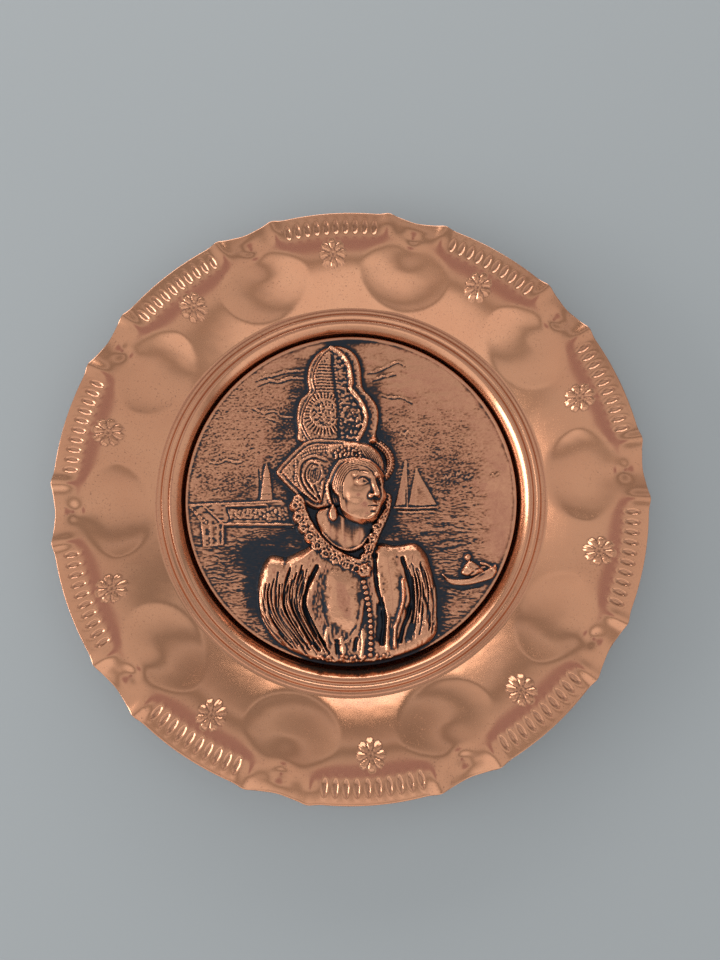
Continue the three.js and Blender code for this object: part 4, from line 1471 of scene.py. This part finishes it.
def make_camera():
    """Looks down from about a third of a metre, from the bottom side of the picture."""
    pivot = Vector((0.0, 0.0, MEDALLION_GROUND)) * MM
    shift = Vector(PICTURE_SEEN_AT) * MM
    seen = Matrix.Rotation(-CAMERA_TILT, 3, "X") @ Matrix.Rotation(CAMERA_TURN, 3, "Y")
    place = seen.transposed().to_4x4()
    place.translation = pivot - seen.transposed() @ shift
    data = bpy.data.cameras.new("camera")
    data.lens = CAMERA_LENS
    camera = bpy.data.objects.new("camera", data)
    camera.matrix_world = place
    bpy.context.scene.collection.objects.link(camera)
    bpy.context.scene.camera = camera


def make_stage():
    corners = [(x * FLOOR_HALF, y * FLOOR_HALF, 0) for x, y in ((-1, -1), (1, -1), (1, 1), (-1, 1))]
    floor = mesh_object("floor", corners, [np.array([[0, 1, 2, 3]])], smooth=False)
    material = bpy.data.materials.new("pale_floor")
    material.use_nodes = True
    shader = material.node_tree.nodes["Principled BSDF"]
    shader.inputs["Base Color"].default_value = FLOOR_COLOUR
    shader.inputs["Roughness"].default_value = 0.8
    floor.data.materials.append(material)


def soft_light(name, place, aim, size, watts):
    data = bpy.data.lights.new(name, "AREA")
    data.shape = "RECTANGLE"
    data.size, data.size_y = size
    data.energy = watts
    lamp = bpy.data.objects.new(name, data)
    lamp.location = place
    lamp.rotation_euler = (Vector(aim) - Vector(place)).to_track_quat("-Z", "Y").to_euler()
    bpy.context.scene.collection.objects.link(lamp)


def make_lights():
    """A low window beyond the picture's top, a dimmer one to the left, a bright wall opposite, and overhead
    the shaded patch of whoever looks down at the plate."""
    soft_light("window", (-0.3, 2.3, 0.55), (0, 0, 0), (3.6, 1.1), 38)
    soft_light("side_window", (-2.1, -0.2, 0.6), (0, 0, 0), (1.6, 0.7), 22)
    world = bpy.data.worlds.new("room")
    world.use_nodes = True
    nodes, links = world.node_tree.nodes, world.node_tree.links
    direction = nodes.new("ShaderNodeTexCoord").outputs["Generated"]
    turned = nodes.new("ShaderNodeVectorRotate")
    turned.rotation_type = "Z_AXIS"
    turned.inputs["Angle"].default_value = ROOM_TURN
    links.new(direction, turned.inputs["Vector"])
    split = nodes.new("ShaderNodeSeparateXYZ")
    links.new(turned.outputs["Vector"], split.inputs["Vector"])
    towards_window = nodes.new("ShaderNodeMapRange")
    towards_window.inputs["From Min"].default_value = -1.0
    links.new(split.outputs["Y"], towards_window.inputs["Value"])
    ramp = nodes.new("ShaderNodeValToRGB")
    elements = ramp.color_ramp.elements
    while len(elements) < len(ROOM_BANDS):
        elements.new(0.5)
    for element, (where, grey) in zip(elements, ROOM_BANDS):
        element.position = where
        element.color = (grey * 0.97, grey * 0.99, grey, 1)
    links.new(towards_window.outputs["Result"], ramp.inputs["Fac"])
    overhead = nodes.new("ShaderNodeVectorMath")
    overhead.operation = "DOT_PRODUCT"
    overhead.inputs[1].default_value = (0.0, 0.05, 0.999)
    links.new(direction, overhead.inputs[0])
    shaded = nodes.new("ShaderNodeMapRange")
    shaded.interpolation_type = "SMOOTHSTEP"
    shaded.inputs["From Min"].default_value = 0.962
    shaded.inputs["From Max"].default_value = 0.992
    links.new(overhead.outputs["Value"], shaded.inputs["Value"])
    wall = nodes.new("ShaderNodeMix")
    wall.data_type = "RGBA"
    wall.inputs[7].default_value = OVERHEAD_SHADE
    links.new(shaded.outputs["Result"], wall.inputs[0])
    links.new(ramp.outputs["Color"], wall.inputs[6])
    background = nodes["Background"]
    links.new(wall.outputs[2], background.inputs["Color"])
    background.inputs["Strength"].default_value = 1.0
    bpy.context.scene.world = world


make_camera()
make_stage()
make_lights()
bpy.context.scene.view_settings.view_transform = "Standard"

dish = make_dish()
# Painted shade for the rim's grooves and dents, kept as a value at each point
paint(dish, "groove_shade", rim_groove_shade)
bake_layout(dish, PLATE_RADIUS + 1)
medallion = make_medallion()
bake_layout(medallion, MEDALLION_RADIUS)

for piece, body, node, finish_slot, material in (
    (dish, "plate", "dish", "satin_copper", satin_copper()),
    (medallion, "plate", "relief_medallion", "patinated_copper", patinated_copper()),
    (make_solder(), "plate", "solder_pad", "solder", soft_solder()),
    (make_strap(), "plate", "hanger_strap", "strap_copper", strap_copper()),
    (make_ring(), "ring", "hanging_ring", "brass_wire", brass_wire()),
):
    piece.data.materials.append(material)
    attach(piece, body)
    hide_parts(node)

for node, material in (("backing_board", raw_hardboard()), ("mastic_bed", dried_mastic())):
    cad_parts[node].material_slots[0].material = material
